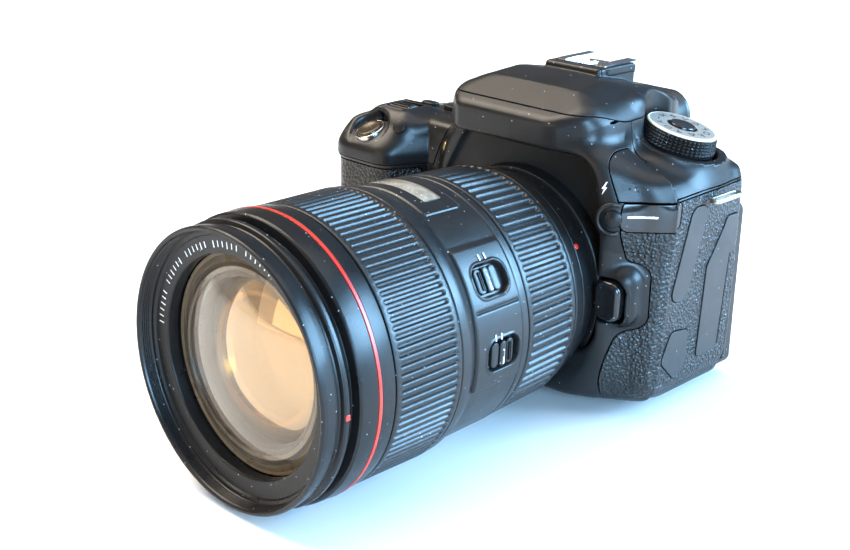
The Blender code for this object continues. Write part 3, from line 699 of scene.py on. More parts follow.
def outline(points, radius, steps=6):
    """A closed outline with arcs at its corners."""
    made = []
    for n, here in enumerate(points):
        a = np.array(points[n - 1], float)
        b = np.array(here, float)
        c = np.array(points[(n + 1) % len(points)], float)
        into, away = (a - b) / np.linalg.norm(a - b), (c - b) / np.linalg.norm(c - b)
        half = math.acos(max(-1, min(1, into @ away))) / 2
        reach = min(radius / math.tan(half), 0.49 * np.linalg.norm(a - b), 0.49 * np.linalg.norm(c - b))
        r = reach * math.tan(half)
        middle = b + (into + away) / np.linalg.norm(into + away) * r / math.sin(half)
        start = b + into * reach - middle
        end = b + away * reach - middle
        first = math.atan2(start[1], start[0])
        sweep = (math.atan2(end[1], end[0]) - first + math.pi) % TAU - math.pi
        for k in range(steps + 1):
            turn = first + sweep * k / steps
            made.append((middle[0] + r * math.cos(turn), middle[1] + r * math.sin(turn)))
    return np.array(made)


def rectangle(width, height, radius, steps=6):
    w, h = width / 2, height / 2
    return outline([(-w, -h), (w, -h), (w, h), (-w, h)], radius, steps)


def circle(radius, steps=40):
    turn = np.arange(steps) * TAU / steps
    return np.stack([radius * np.cos(turn), radius * np.sin(turn)], 1)


def moved_in(loop, distance):
    """A smooth loop moved inwards along its normals."""
    before, after = np.roll(loop, 1, 0), np.roll(loop, -1, 0)
    tangent = after - before
    tangent /= np.maximum(np.linalg.norm(tangent, axis=1, keepdims=True), 1e-9)
    area = np.sum(loop[:, 0] * np.roll(loop[:, 1], -1) - loop[:, 1] * np.roll(loop[:, 0], -1))
    normal = np.stack([-tangent[:, 1], tangent[:, 0]], 1) * (1 if area > 0 else -1)
    return loop + normal * distance


def pressed(name, loop, low, high, origin, axis, side=(1, 0, 0), edge=0.4, crown=0.0, dish=0.0, crease=32.0):
    """A plate or button: an outline with a rounded upper edge and a crowned or dished top."""
    levels = [(0.0, low)]
    for k in range(5):
        turn = math.pi / 2 * k / 4
        levels.append((edge * (1 - math.cos(turn)), high - edge * (1 - math.sin(turn))))
    points = []
    for inward, level in levels:
        ring = moved_in(loop, inward)
        points.append(np.column_stack([ring, np.full(len(ring), level)]))
    if crown or dish:
        middle = loop.mean(0)
        for k in (0.25, 0.5, 0.75):
            rise = (1 - (1 - k) ** 2) * (crown - dish)
            points.append(np.column_stack([ring + (middle - ring) * k, np.full(len(ring), high + rise)]))
    rows, columns = len(points), len(loop)
    faces = grid_faces(rows, columns)
    faces.append(tuple(range(columns)))
    faces.append(tuple(reversed(range((rows - 1) * columns, rows * columns))))
    return solid(name, put(np.concatenate(points), origin, axis, side), faces, crease)


def frame_ring(name, outer, inner, low, high, origin, axis, side=(1, 0, 0), edge=0.3, crease=32.0):
    """A raised frame between two outlines with the same number of points."""
    levels = [(outer, low), (outer, high - edge), (moved_in(outer, edge * 0.3), high - edge * 0.3),
              (moved_in(outer, edge), high), (moved_in(inner, -edge), high),
              (moved_in(inner, -edge * 0.3), high - edge * 0.3), (inner, high - edge), (inner, low)]
    points = [np.column_stack([loop, np.full(len(loop), level)]) for loop, level in levels]
    faces = grid_faces(len(levels), len(outer), True)
    return solid(name, put(np.concatenate(points), origin, axis, side), faces, crease)


def stroke(name, start, end, width, origin, axis, side=(1, 0, 0), height=0.06):
    """A thin painted line."""
    start, end = np.array(start, float), np.array(end, float)
    middle, along = (start + end) / 2, end - start
    length = np.linalg.norm(along)
    cos, sin = along / length
    bar = rectangle(length + width, width, width * 0.49, 3)
    loop = np.stack([bar[:, 0] * cos - bar[:, 1] * sin, bar[:, 0] * sin + bar[:, 1] * cos], 1) + middle
    return pressed(name, loop, -0.1, height, origin, axis, side, edge=height * 0.4)


# ---------------------------------------------------------------- the lens

LENS = (0, 0, AXIS_Z)
FORWARD = (0, -1, 0)           # "along" on the lens is the distance in front of the sensor plane
REAR_RING = (58.7, 81.2)
FRONT_RING = (111.9, 137.1)
REAR_RIBS, FRONT_RIBS = 75, 106
SWITCHES = {"af_mf_switch": (60.3, 96.0), "stabiliser_switch": (91.6, 94.4)}
RECESS = (6.5, 4.6)            # half length along the lens and half width round it
PAD = (85.6, 105.0)


def degrees_round(angle):
    """Degrees from the top of the lens towards +X, for an angle used by turned()."""
    return (90.0 - np.degrees(angle) + 180.0) % 360.0 - 180.0


def lens_side(turn):
    """The axes of a spot on the lens: outward normal at some degrees from the top towards +X."""
    a = math.radians(turn)
    return np.array([math.sin(a), 0, math.cos(a)])


def ribbed(count, start, end, depth, share):
    """Long rounded ribs between two distances along the lens."""
    def shape(along, angle, radius):
        phase = (angle * count / TAU) % 1.0
        across = np.abs(phase - 0.5) * 2
        top = 1 - ramp(across, share - 0.14, share + 0.14)
        ends = ramp(along, start, start + 0.9) * (1 - ramp(along, end - 0.9, end))
        return radius - depth * (1 - top) * ends
    return shape


def grip_ring(name, node, ring, radii, ribs, depth):
    """A ribbed turning ring with a plain collar at each end."""
    start, end = ring[0] + 0.15, ring[1] - 0.15
    collar = 1.5
    rows = [(start, radii[0] - 2.0), (start, radii[0] - 0.35), (start + 0.12, radii[0] - 0.1), (start + 0.35, radii[0])]
    inner = np.concatenate([np.linspace(start + collar, start + collar + 1.2, 7),
                            np.linspace(start + collar + 1.6, end - collar - 1.6, 6),
                            np.linspace(end - collar - 1.2, end - collar, 7)])
    span = end - start
    rows += [(a, radii[0] + (radii[1] - radii[0]) * (a - start) / span) for a in inner]
    rows += [(end - 0.35, radii[1]), (end - 0.12, radii[1] - 0.1), (end, radii[1] - 0.35), (end, radii[1] - 2.0)]
    shape = ribbed(ribs, start + collar, end - collar, depth, 0.56)
    obj = turned(name, rows, LENS, FORWARD, ribs * 8, True, shape, crease=50)
    return dress(obj, "ribs", node, "lens_rubber", node)


def barrel_radius(along, angle, radius):
    """The fixed barrel's radius, with the switch pad, the recesses and the distance window."""
    turn = degrees_round(angle)
    soft = 0.35
    on_pad = ramp(turn, 43.2, 46.6) * (1 - ramp(turn, 105.2, 106.6))
    on_pad = on_pad * ramp(along, PAD[0] - soft, PAD[0] + soft) * (1 - ramp(along, PAD[1] - 0.35, PAD[1] + 0.1))
    radius = radius + 0.85 * on_pad
    arc = np.radians(turn) * 40.0

    def box_mask(middle, place, half_along, half_round, corner, blend):
        qa = np.abs(along - place) - half_along + corner
        qr = np.abs(arc - math.radians(middle) * 40.0) - half_round + corner
        inside = np.hypot(np.maximum(qa, 0), np.maximum(qr, 0)) + np.minimum(np.maximum(qa, qr), 0) - corner
        return inside, 1 - ramp(inside, -blend, blend)

    for turn_at, place in ((60.4, 94.9), (91.8, 94.0)):
        inside, mask = box_mask(turn_at, place, RECESS[0], RECESS[1], 3.4, 0.18)
        rim = np.exp(-((inside - 0.55) / 0.34) ** 2)
        radius = radius + 0.28 * rim - 2.0 * mask
    divider = np.exp(-((arc - math.radians(72.0) * 40) / 0.45) ** 2) * on_pad * (1 - ramp(along, 103.4, 104.0))
    radius = radius - 0.5 * divider

    # the pane of the distance window, with a fine line round it, and the clear slot in its middle
    inside, mask = box_mask(0, 96.0, 7.4, 18.2, 1.6, 0.2)
    radius = radius + 0.25 * mask - 0.3 * np.exp(-(inside / 0.22) ** 2)
    inside, mask = box_mask(0, 95.2, 3.3, 12.8, 0.6, 0.15)
    radius = radius - 0.5 * mask
    return radius


def make_barrel():
    inner = 31.0
    profile = [(43.2, 32.6), (45.4, 33.4), (45.8, 34.0), (47.4, 34.6), (52.2, 35.9), (52.5, 35.7), (53.0, 36.4),
               (57.4, 37.6), (58.2, 37.7), (58.4, 37.2)]
    profile = rounded_profile(profile, 0.25)
    dress(turned("barrel_rear", ring_profile([(43.2, inner), *profile, (58.4, inner)], 0.1), LENS, FORWARD, 180, True),
          "satin", "lens", "lens_plastic", "lens_barrel")
    dress(pressed("mount_index", circle(0.95, 24), -0.3, 0.55, np.array(LENS) + 35.5 * lens_side(59.4) + [0, -51.2, 0],
                  lens_side(59.4), FORWARD, 0.45), "red", "lens", "lens_plastic")

    along = np.concatenate([[81.4, 81.5, 81.8, 82.2, 83.0, 84.2, 84.5, 84.7, 84.9, 85.1],
                            np.arange(85.3, 106.2, 0.3), [106.6, 107.2, 108, 109, 110, 111, 111.4, 111.6, 111.75]])
    level = np.interp(along, [81.4, 81.8, 84.2, 84.45, 84.75, 85.0, 104.8, 105.4, 108.4, 111.4, 111.75],
                      [38.7, 39.1, 39.3, 39.3, 39.0, 39.3, 39.75, 39.9, 41.1, 41.3, 40.9])
    turn = np.concatenate([np.arange(-32, 32, 0.5), np.arange(32, 42, 1.0), np.arange(42, 110, 0.25),
                           np.arange(110, 328, 2.0)])
    angles = np.radians(90.0 - turn)
    rows = [(81.4, 37.0), *zip(along, level), (111.75, 38.5)]
    dress(turned("barrel_middle", rows, LENS, FORWARD, closed=True, shape=barrel_radius, angles=angles, crease=40),
          "satin", "lens", "lens_plastic", "lens_barrel")
    dress(turned("barrel_sleeve", [(57, 34.4), (57, 37.0), (137.5, 37.0), (137.5, 34.4)], LENS, FORWARD, 96, True),
          "matt", "lens", "lens_plastic", "lens_barrel")
    window_and_scale()
    for node in SWITCHES:
        switch_knob(node)


def window_and_scale():
    """Pane over a scale of plain strokes, with white marks beside the switches."""
    rows = [(92.1, 38.7), (92.1, 39.55), (92.3, 39.62), (98.1, 39.75), (98.3, 39.7), (98.3, 38.7)]
    angles = np.radians(90.0 - np.linspace(-17.6, 17.6, 60))
    points, faces = [], []
    for along, radius in rows:
        points += [(radius * math.cos(a), radius * math.sin(a), along) for a in angles]
    for i in range(len(rows)):
        a, b = i * len(angles), (i + 1) % len(rows) * len(angles)
        faces += [(a + j, a + j + 1, b + j + 1, b + j) for j in range(len(angles) - 1)]
    faces.append(tuple(i * len(angles) for i in range(len(rows))))
    faces.append(tuple((i + 1) * len(angles) - 1 for i in reversed(range(len(rows)))))
    dress(solid("distance_window", put(points, LENS, FORWARD), faces), "window", "lens", "coated_glass")
    for n in range(-6, 7):
        turn = n * 2.6
        spot = np.array(LENS) + 39.65 * lens_side(turn)
        long = 1.6 if n % 3 == 0 else 0.9
        dress(stroke(f"distance_mark_{n + 7:02d}", (96.2, 0), (96.2 + long, 0), 0.24, spot, lens_side(turn), FORWARD),
              "white", "lens", "lens_plastic")
    for turn_at, place in ((51.0, 94.9), (84.0, 96.3)):
        for offset in (-1.15, 1.15):
            spot = np.array(LENS) + 40.62 * lens_side(turn_at)
            dress(stroke(f"switch_mark_{turn_at:.0f}_{'a' if offset < 0 else 'b'}", (place + offset, -0.75),
                         (place + offset, 0.75), 0.42, spot, lens_side(turn_at), FORWARD), "white", "lens",
                         "lens_plastic")


def switch_knob(node):
    """A sliding knob: lobed ends, two pairs of grooves and a white tick."""
    turn, place = SWITCHES[node]
    normal = lens_side(turn)
    origin = np.array(LENS) + [0, -place, 0] + normal * 38.6
    front, back = -4.5, 4.5
    for n, (low, high, top) in enumerate(((front, -1.5, 1.75), (-1.25, 1.25, 2.15), (1.5, back, 1.75))):
        loop = rectangle(high - low, 7.6, 1.2 if n == 1 else 1.45) + [(low + high) / 2, 0]
        dress(pressed(f"{node}_lobe_{n + 1}", loop, 0.2, top, origin, normal, FORWARD, 0.45, 0.1), "satin", node,
              "lens_plastic", node)
    for n, at in enumerate((1.1, 2.4, 3.0)):
        dress(pressed(f"{node}_rib_{n + 1}", rectangle(0.32, 5.6, 0.15, 2) + [-at if turn > 80 else at, 0], 1.2, 2.3,
                      origin, normal, FORWARD, 0.12), "satin", node, "lens_plastic")
    dress(stroke(node + "_tick", (-0.1, -1.2), (-0.1, 3.0), 0.45, origin + normal * 2.18, normal, FORWARD), "white",
          node, "lens_plastic")
    dress(pressed(node + "_bed", rectangle(11.4, 7.4, 3.2), -0.6, 0.1, origin, normal, FORWARD, 0.1), "matt", "lens",
          "lens_plastic")


def make_front_barrel():
    body = "front_barrel"
    band = [(137.4, 39.6), (137.4, 41.1), (137.7, 41.45), (142.5, 41.85), (142.7, 41.75)]
    ahead = [(144.0, 41.75), (144.2, 41.95), (149.6, 41.75), (150.2, 41.2), (150.3, 38.4), (152.8, 38.2),
             (153.0, 40.5), (153.4, 40.9), (154.6, 40.95), (155.0, 40.7), (155.3, 39.6), (155.9, 39.3), (156.3, 39.9),
             (158.4, 40.3), (160.2, 40.5), (161.5, 40.5), (162.0, 40.1), (162.0, 39.5), (161.7, 39.1)]
    threads = []
    for n in range(5):
        at = 161.2 - n * 0.62
        threads += [(at, 38.9), (at - 0.31, 38.55)]
    front = [(158.0, 38.3), (157.9, 37.4), (157.2, 36.9), (156.9, 32.4), (156.6, 31.9), (153.6, 31.9), (152.0, 32.6)]
    back = [(152.0, 34.6), (139.0, 34.6), (138.6, 38.4)]
    outer = band + [(142.8, 41.6), (143.9, 41.6)] + ahead
    profile = ring_profile([*outer, *threads, *front, *back], 0.16)
    dress(turned("front_barrel_shell", profile, LENS, FORWARD, 200, True), "front_satin", body, "lens_plastic",
          "front_barrel")
    red = turned("red_ring", ring_profile([(142.75, 41.0), (142.75, 42.0), (143.95, 42.05), (143.95, 41.0)], 0.2),
                 LENS, FORWARD, 200, True)
    dress(red, "red", body, "lens_plastic")
    dress(turned("front_sleeve", [(60, 33.2), (60, 34.2), (150, 34.2), (150, 33.2)], LENS, FORWARD, 96, True), "matt",
          body, "lens_plastic", "front_barrel")
    normal = lens_side(92.0)
    dress(pressed("hood_mark", rectangle(1.5, 1.7, 0.3), -0.4, 0.1, np.array(LENS) + 40.95 * normal + [0, -154.0, 0],
                  normal, FORWARD, 0.08), "red", body, "lens_plastic")
    name_ring_marks()
    make_glass()


def name_ring_marks():
    """Plain dashes round the ring in front of the glass, in place of lettering."""
    radius, face = 34.7, 157.05
    for n in range(42):
        turn = math.radians(-84 + n * 3.3)
        if n % 7 == 6:
            continue
        centre = np.array([radius * math.sin(turn), -face - 0.02, AXIS_Z + radius * math.cos(turn)])
        side = np.array([math.sin(turn), 0, math.cos(turn)])
        tall = 0.75 if n % 3 else 1.0
        dress(stroke(f"ring_dash_{n:02d}", (-tall, 0), (tall, 0), 0.3, centre, FORWARD, side, 0.04), "white",
              "front_barrel", "lens_plastic")


def cap_profile(vertex, radius, curve, steps=14):
    """A spherical surface from its rim to its vertex; curve is positive when it bulges forwards."""
    made = []
    for k in range(steps + 1):
        r = radius * (1 - k / steps)
        depth = abs(curve) - math.sqrt(curve * curve - r * r)
        made.append((vertex - math.copysign(depth, curve), max(r, 0.02)))
    return made


def make_glass():
    body = "front_barrel"
    front = cap_profile(159.6, 31.6, 70.0)
    rear = cap_profile(155.0, 31.6, 90.0)[::-1]
    dress(turned("front_element", [*rear, *front], LENS, FORWARD, 128, crease=60), "coated_glass", body,
          "coated_glass", "front_glass")
    stops = [(152.4, 32.0, 28.6), (151.6, 28.8, 27.0), (150.8, 27.2, 25.4), (150.0, 25.6, 23.6)]
    # every other baffle gets a lighter copy of the tan material: painted light on alternate rings
    for n, (at, outer, inner) in enumerate(stops):
        dress(turned(f"baffle_{n + 1}", ring_profile([(at, outer), (at, inner), (at - 2.6, inner - 0.6),
                                                      (at - 2.6, outer)], 0.25), LENS, FORWARD, 128, True),
                                                      "baffle" if n % 2 else "baffle_painted_lit", body, "lens_plastic")
    dress(turned("second_element", [*cap_profile(149.0, 23.8, 50.0)[::-1], *cap_profile(152.0, 23.8, 46.0)], LENS,
                 FORWARD, 112, crease=60), "amber_glass", body, "coated_glass")
    dress(turned("gold_ring", ring_profile([(145.6, 18.0), (145.6, 16.6), (143.6, 15.8), (143.6, 18.0)], 0.3), LENS,
                 FORWARD, 112, True), "gold", body, "lens_plastic")
    dress(turned("third_element", [*cap_profile(141.0, 15.4, 34.0)[::-1], *cap_profile(144.6, 15.4, 30.0)], LENS,
                 FORWARD, 96, crease=60), "violet_glass", body, "coated_glass")
    dress(turned("inner_cone", ring_profile([(149.5, 24.2), (143.5, 23.6), (131, 16.0), (116, 9.6), (108, 9.0),
                                             (108, 26), (149.5, 26)], 0.3), LENS, FORWARD, 96, True), "baffle", body,
                                             "lens_plastic")
    blades = 9
    for n in range(blades):
        turn = TAU * n / blades
        loop = [(6.0, 0.2), (8.4, -4.6), (13.6, -5.6), (13.8, 5.4), (9.6, 5.8)]
        u = np.array([math.cos(turn), 0, math.sin(turn)])
        dress(pressed(f"iris_blade_{n + 1}", outline(loop, 0.6, 4), 0.0, 0.35,
                      np.array(LENS) + [0, -(118 + 0.08 * n), 0], FORWARD, u, 0.1), "blade", body, "lens_plastic")


def make_lens():
    dress(turned("mount_seat", ring_profile([(42.35, 24.2), (42.35, 32.9), (43.9, 32.9), (43.9, 24.2)], 0.2), LENS,
                 FORWARD, 120, True), "steel", "camera_body", "bright_steel", "mount_ring")
    make_barrel()
    grip_ring("zoom_grip", "zoom_ring", REAR_RING, (38.1, 39.0), REAR_RIBS, 0.95)
    grip_ring("focus_grip", "focus_ring", FRONT_RING, (41.45, 41.4), FRONT_RIBS, 0.8)
    make_front_barrel()


# ---------------------------------------------------------------- controls on top

# strokes of the dial's plain signs: across, out, across, out
DIAL_SIGNS = [
    [(-0.8, -0.8, 0, 0.9), (0, 0.9, 0.8, -0.8), (-0.45, -0.1, 0.45, -0.1)],
    [(-0.8, -0.6, 0.8, -0.6), (-0.8, 0.7, 0.8, 0.7), (-0.8, -0.6, -0.8, 0.7), (0.8, -0.6, 0.8, 0.7)],
    [(-0.5, -0.9, -0.5, 0.9), (-0.5, 0.9, 0.5, 0.5), (0.5, 0.5, -0.5, 0.0)],
    [(-0.9, -0.8, -0.1, 0.8), (-0.1, 0.8, 0.9, -0.8), (-0.9, -0.8, 0.9, -0.8)],
    [(-0.8, 0.8, 0, -0.8), (0, -0.8, 0.8, 0.8)],
    [(0, -0.9, 0, 0.9), (-0.8, 0, 0.8, 0), (-0.5, -0.5, 0.5, 0.5)],
    [(-0.8, -0.8, -0.8, 0.8), (-0.8, 0.8, 0, -0.2), (0, -0.2, 0.8, 0.8), (0.8, 0.8, 0.8, -0.8)],
    [(-0.8, 0, 0.8, 0)],
]


def make_mode_dial():
    top = DIAL_TOP
    rows, around, low, high = 5, 50, -5.7, -0.8
    height = (high - low) / rows

    def knurl(along, angle, radius):
        h = (along - low) / height % 1.0
        a = (angle * around / TAU) % 1.0
        point = np.minimum(1 - np.abs(h - 0.5) * 2, 1 - np.abs(a - 0.5) * 2)
        on = (along > low + 1e-3) & (along < high - 1e-3)
        return radius + np.where(on, 0.75 * point, 0.0)

    levels = [(-6.4, 9.0), (-6.4, 12.1), (-6.1, 12.3), (low, 12.3)]
    levels += [(a, 11.1 - 0.15 * a) for a in np.linspace(low + 0.01, high - 0.01, rows * 6 + 1)]
    levels += [(high, 11.5), (-0.5, 11.5), (-0.5, 9.0)]
    dial = turned("mode_dial_knurl", levels, top, DIAL_AXIS, around * 8, True, knurl, crease=25)
    dress(dial, "control", "mode_dial", "control_plastic", "mode_dial")
    dress(turned("mode_dial_rim", ring_profile([(-0.55, 10.1), (-0.55, 11.4), (-0.12, 11.4), (0.12, 11.1),
                                                (0.12, 10.1)], 0.12), top, DIAL_AXIS, 120, True), "cream", "mode_dial",
                                                "dial_silver")
    dress(turned("mode_dial_face", ring_profile([(-0.6, 5.0), (-0.6, 10.7), (0.16, 10.7), (0.16, 5.0)], 0.1), top,
                 DIAL_AXIS, 120, True), "brushed", "mode_dial", "dial_silver", "mode_dial")
    modes = 12
    for n in range(modes):
        turn = TAU * n / modes
        out = np.array([math.cos(turn), math.sin(turn)])
        across = np.array([-out[1], out[0]])
        strokes = DIAL_SIGNS[n % len(DIAL_SIGNS)]
        for k, (a, b, c, d) in enumerate(strokes):
            start = out * (7.8 + b * 1.25) + across * a * 1.25
            end = out * (7.8 + d * 1.25) + across * c * 1.25
            dress(stroke(f"mode_sign_{n + 1:02d}_{k + 1}", start, end, 0.42, top, DIAL_AXIS, height=0.2), "ink",
                  "mode_dial", "dial_silver")
    dress(pressed("mode_dial_button", circle(4.2, 56), -1.2, 0.8, top, DIAL_AXIS, edge=0.5, dish=0.15), "gloss",
          "mode_dial_lock_button", "control_plastic", "mode_dial_lock_button")
    dress(turned("mode_dial_collar", ring_profile([(-1.0, 4.35), (-1.0, 5.1), (0.12, 5.05), (0.12, 4.4)], 0.15), top,
                 DIAL_AXIS, 80, True), "gloss", "mode_dial", "dial_silver")


def make_power_switch():
    seat = DIAL_SEAT
    dress(turned("power_collar", ring_profile([(0.05, 9.2), (0.05, 12.2), (1.6, 12.2), (2.0, 11.7), (2.0, 9.2)], 0.25),
                 seat, DIAL_AXIS, 96, True), "control", "power_switch", "control_plastic", "power_switch")
    tab_turn = math.radians(12)
    side = (math.cos(tab_turn), math.sin(tab_turn), 0)
    dress(pressed("power_tab", rectangle(4.0, 4.0, 1.2) + [12.6, 0], 0.1, 2.0, seat, DIAL_AXIS, side, 0.5, 0.2),
          "control", "power_switch", "control_plastic")
    for n in range(3):
        dress(pressed(f"power_tab_rib_{n + 1}", rectangle(0.4, 3.2, 0.18, 2) + [12.4 + 0.9 * n, 0], 1.6, 2.2, seat,
                      DIAL_AXIS, side, 0.15), "control", "power_switch", "control_plastic")
    pointer = outline([(-1.0, -1.1), (1.0, -1.1), (0, 1.5)], 0.2, 3)
    spot, normal = on_body(DIAL_TOP - np.array([14.4, 3.0, 0.5]), (0.7, -0.5, 0.5), 8.0)
    dress(pressed("dial_index", pointer, -0.5, 0.1, spot, normal, (0, 0, 1), 0.05), "cream", "camera_body",
          "body_plastic")


def make_shutter_button():
    base = SHUTTER_AT + SHUTTER_AXIS * 0.4
    dress(turned("shutter_rim", ring_profile([(-1.6, 4.8), (-1.6, 5.5), (0.35, 5.5), (0.6, 5.2), (0.35, 4.8)], 0.15),
                 base, SHUTTER_AXIS, 80, True), "steel", "camera_body", "body_plastic")
    dress(pressed("shutter_cap", circle(4.6, 64), -1.2, 1.3, base, SHUTTER_AXIS, edge=0.8, dish=0.5), "bronze",
          "shutter_button", "dial_silver", "shutter_button")


def make_main_dial():
    half, wheel, ribs = WHEEL_HALF, WHEEL_R, 30

    def shape(along, angle, radius):
        across = np.abs((angle * ribs / TAU) % 1.0 - 0.5) * 2
        bite = ramp(across, 0.45, 0.75) * ramp(half - 0.7 - np.abs(along), 0, 0.5)
        return radius - 0.75 * bite

    rows = [(-half, 2.0), (-half, wheel - 0.8), (-half + 0.25, wheel - 0.3), (-half + 0.6, wheel)]
    rows += [(a, wheel) for a in np.linspace(-half + 0.9, half - 0.9, 12)]
    rows += [(half - 0.6, wheel), (half - 0.25, wheel - 0.3), (half, wheel - 0.8), (half, 2.0)]
    dress(turned("main_dial_wheel", rows, DIAL_MIDDLE, (1, 0, 0), ribs * 8, shape=shape, crease=40), "control",
          "main_dial", "control_plastic", "main_dial")


def make_top_controls():
    make_mode_dial()
    make_power_switch()
    make_shutter_button()
    make_main_dial()
    for name, centre in TOP_BUTTONS.items():
        dress(pressed(name + "_cap", rectangle(6.9, 3.9, 1.7), -1.2, 1.1,
                      (centre[0], centre[1], deck(*centre[:2]) - 0.4), (0, 0, 1), edge=0.5, crown=0.25), "control",
                      name, "control_plastic", name)
        for n in (-1, 0, 1):
            dress(stroke(f"{name}_mark_{n + 2}", (n * 1.5 - 0.4, 0), (n * 1.5 + 0.4, 0), 0.28,
                         (centre[0], centre[1] + 4.2, deck(centre[0], centre[1] + 4.2) + 0.02), DECK_NORMAL), "white",
                         "camera_body", "body_plastic")
    area = np.mean(mm_box("af_area_button"), 0)
    tilt = np.array([0, -0.25, 0.97])
    area, tilt = on_body(area, tilt, 8.0)
    dress(pressed("af_area_cap", circle(2.3, 36), -1.6, 0.5, area, tilt, edge=0.4, crown=0.2), "control",
          "af_area_button", "control_plastic", "af_area_button")
    low, high = mm_box("top_display_window")
    low[0] = DISPLAY_START
    middle = (low + high) / 2
    loop = rectangle(high[0] - low[0] - 0.4, high[1] - low[1] - 0.4, 2.2)
    place = (middle[0], middle[1], deck(middle[0], middle[1]) - 0.4)
    dress(pressed("display_window", loop, -1.4, 0.25, place, DECK_NORMAL, edge=0.3, crown=0.15), "display",
          "camera_body", "gloss_black", "top_display_window")
    dress(frame_ring("display_border", rectangle(high[0] - low[0] + 1.4, high[1] - low[1] + 1.4, 2.8), loop, -1.0,
                     0.45, place, DECK_NORMAL), "body", "camera_body", "body_plastic")


def make_shoe():
    low, high = SHOE_LOW, SHOE_HIGH
    mid = (low + high) / 2
    length = high[1] - low[1] - 2.4
    dress(pressed("shoe_bed", rectangle(19.2, length, 0.8), 0, 0.75, (0, mid[1], low[2] - 0.1), (0, 0, 1), edge=0.1),
          "steel", "camera_body", "bright_steel", "hot_shoe")
    dress(pressed("shoe_pad", rectangle(11.6, length - 1.5, 0.8), 0.7, 0.95, (0, mid[1], low[2]), (0, 0, 1), edge=0.1),
          "steel", "camera_body", "bright_steel", "hot_shoe")
    for side in (-1, 1):
        name = "port" if side > 0 else "grip"
        section = [(6.3, 2.35), (9.4, 2.35), (9.4, 0.6), (10.0, 0.6), (10.0, 2.75), (9.6, 3.1), (6.3, 3.1)]
        rows = []
        for at, drop in ((-length / 2, 0.5), (-length / 2 + 0.7, 0.1), (-length / 2 + 1.6, 0), (length / 2, 0)):
            rows += [(side * x, mid[1] + at, low[2] + z - (drop if z > 2 else 0)) for x, z in section]
        faces = grid_faces(4, len(section))
        faces += [tuple(range(len(section))), tuple(reversed(range(3 * len(section), 4 * len(section))))]
        dress(solid("shoe_rail_" + name, rows, faces), "steel", "camera_body", "bright_steel")
        dress(pressed("shoe_spring_" + name, rectangle(2.2, length * 0.6, 0.6), 0, 0.3,
                      (side * 7.9, mid[1], low[2] + 1.85), (0, 0, 1), edge=0.1, crown=0.15), "steel", "camera_body",
                      "bright_steel")
    contacts = [(0, -1.6), (-3.4, 1.6), (3.4, 1.6), (-3.4, 4.4), (3.4, 4.4)]
    for n, (x, y) in enumerate(contacts):
        radius = 1.5 if n == 0 else 0.9
        dress(pressed(f"shoe_contact_{n + 1}", circle(radius, 28), 0, 0.32, (x, mid[1] + y, low[2] + 0.85), (0, 0, 1),
                      edge=0.2, crown=0.1), "gold", "camera_body", "bright_steel")


# ---------------------------------------------------------------- front, sides and base

def on_body(point, direction, reach=12.0):
    """Where a line through a point meets the body, and the surface normal there."""
    steps = np.linspace(reach, -reach, 480)
    line = np.asarray(point, float) + steps[:, None] * np.asarray(direction, float)
    value = body_field(line[:, 0], line[:, 1], line[:, 2])
    inside = np.argmax(value < 0)
    spot = line[inside]
    return spot, measure(body_field, spot[None])[1][0]


def front_spot(x, z):
    return on_body((x, -44.0, z), (0, -1, 0))


def side_spot(y, z):
    return on_body((50.0, y, z), (1, 0, 0))


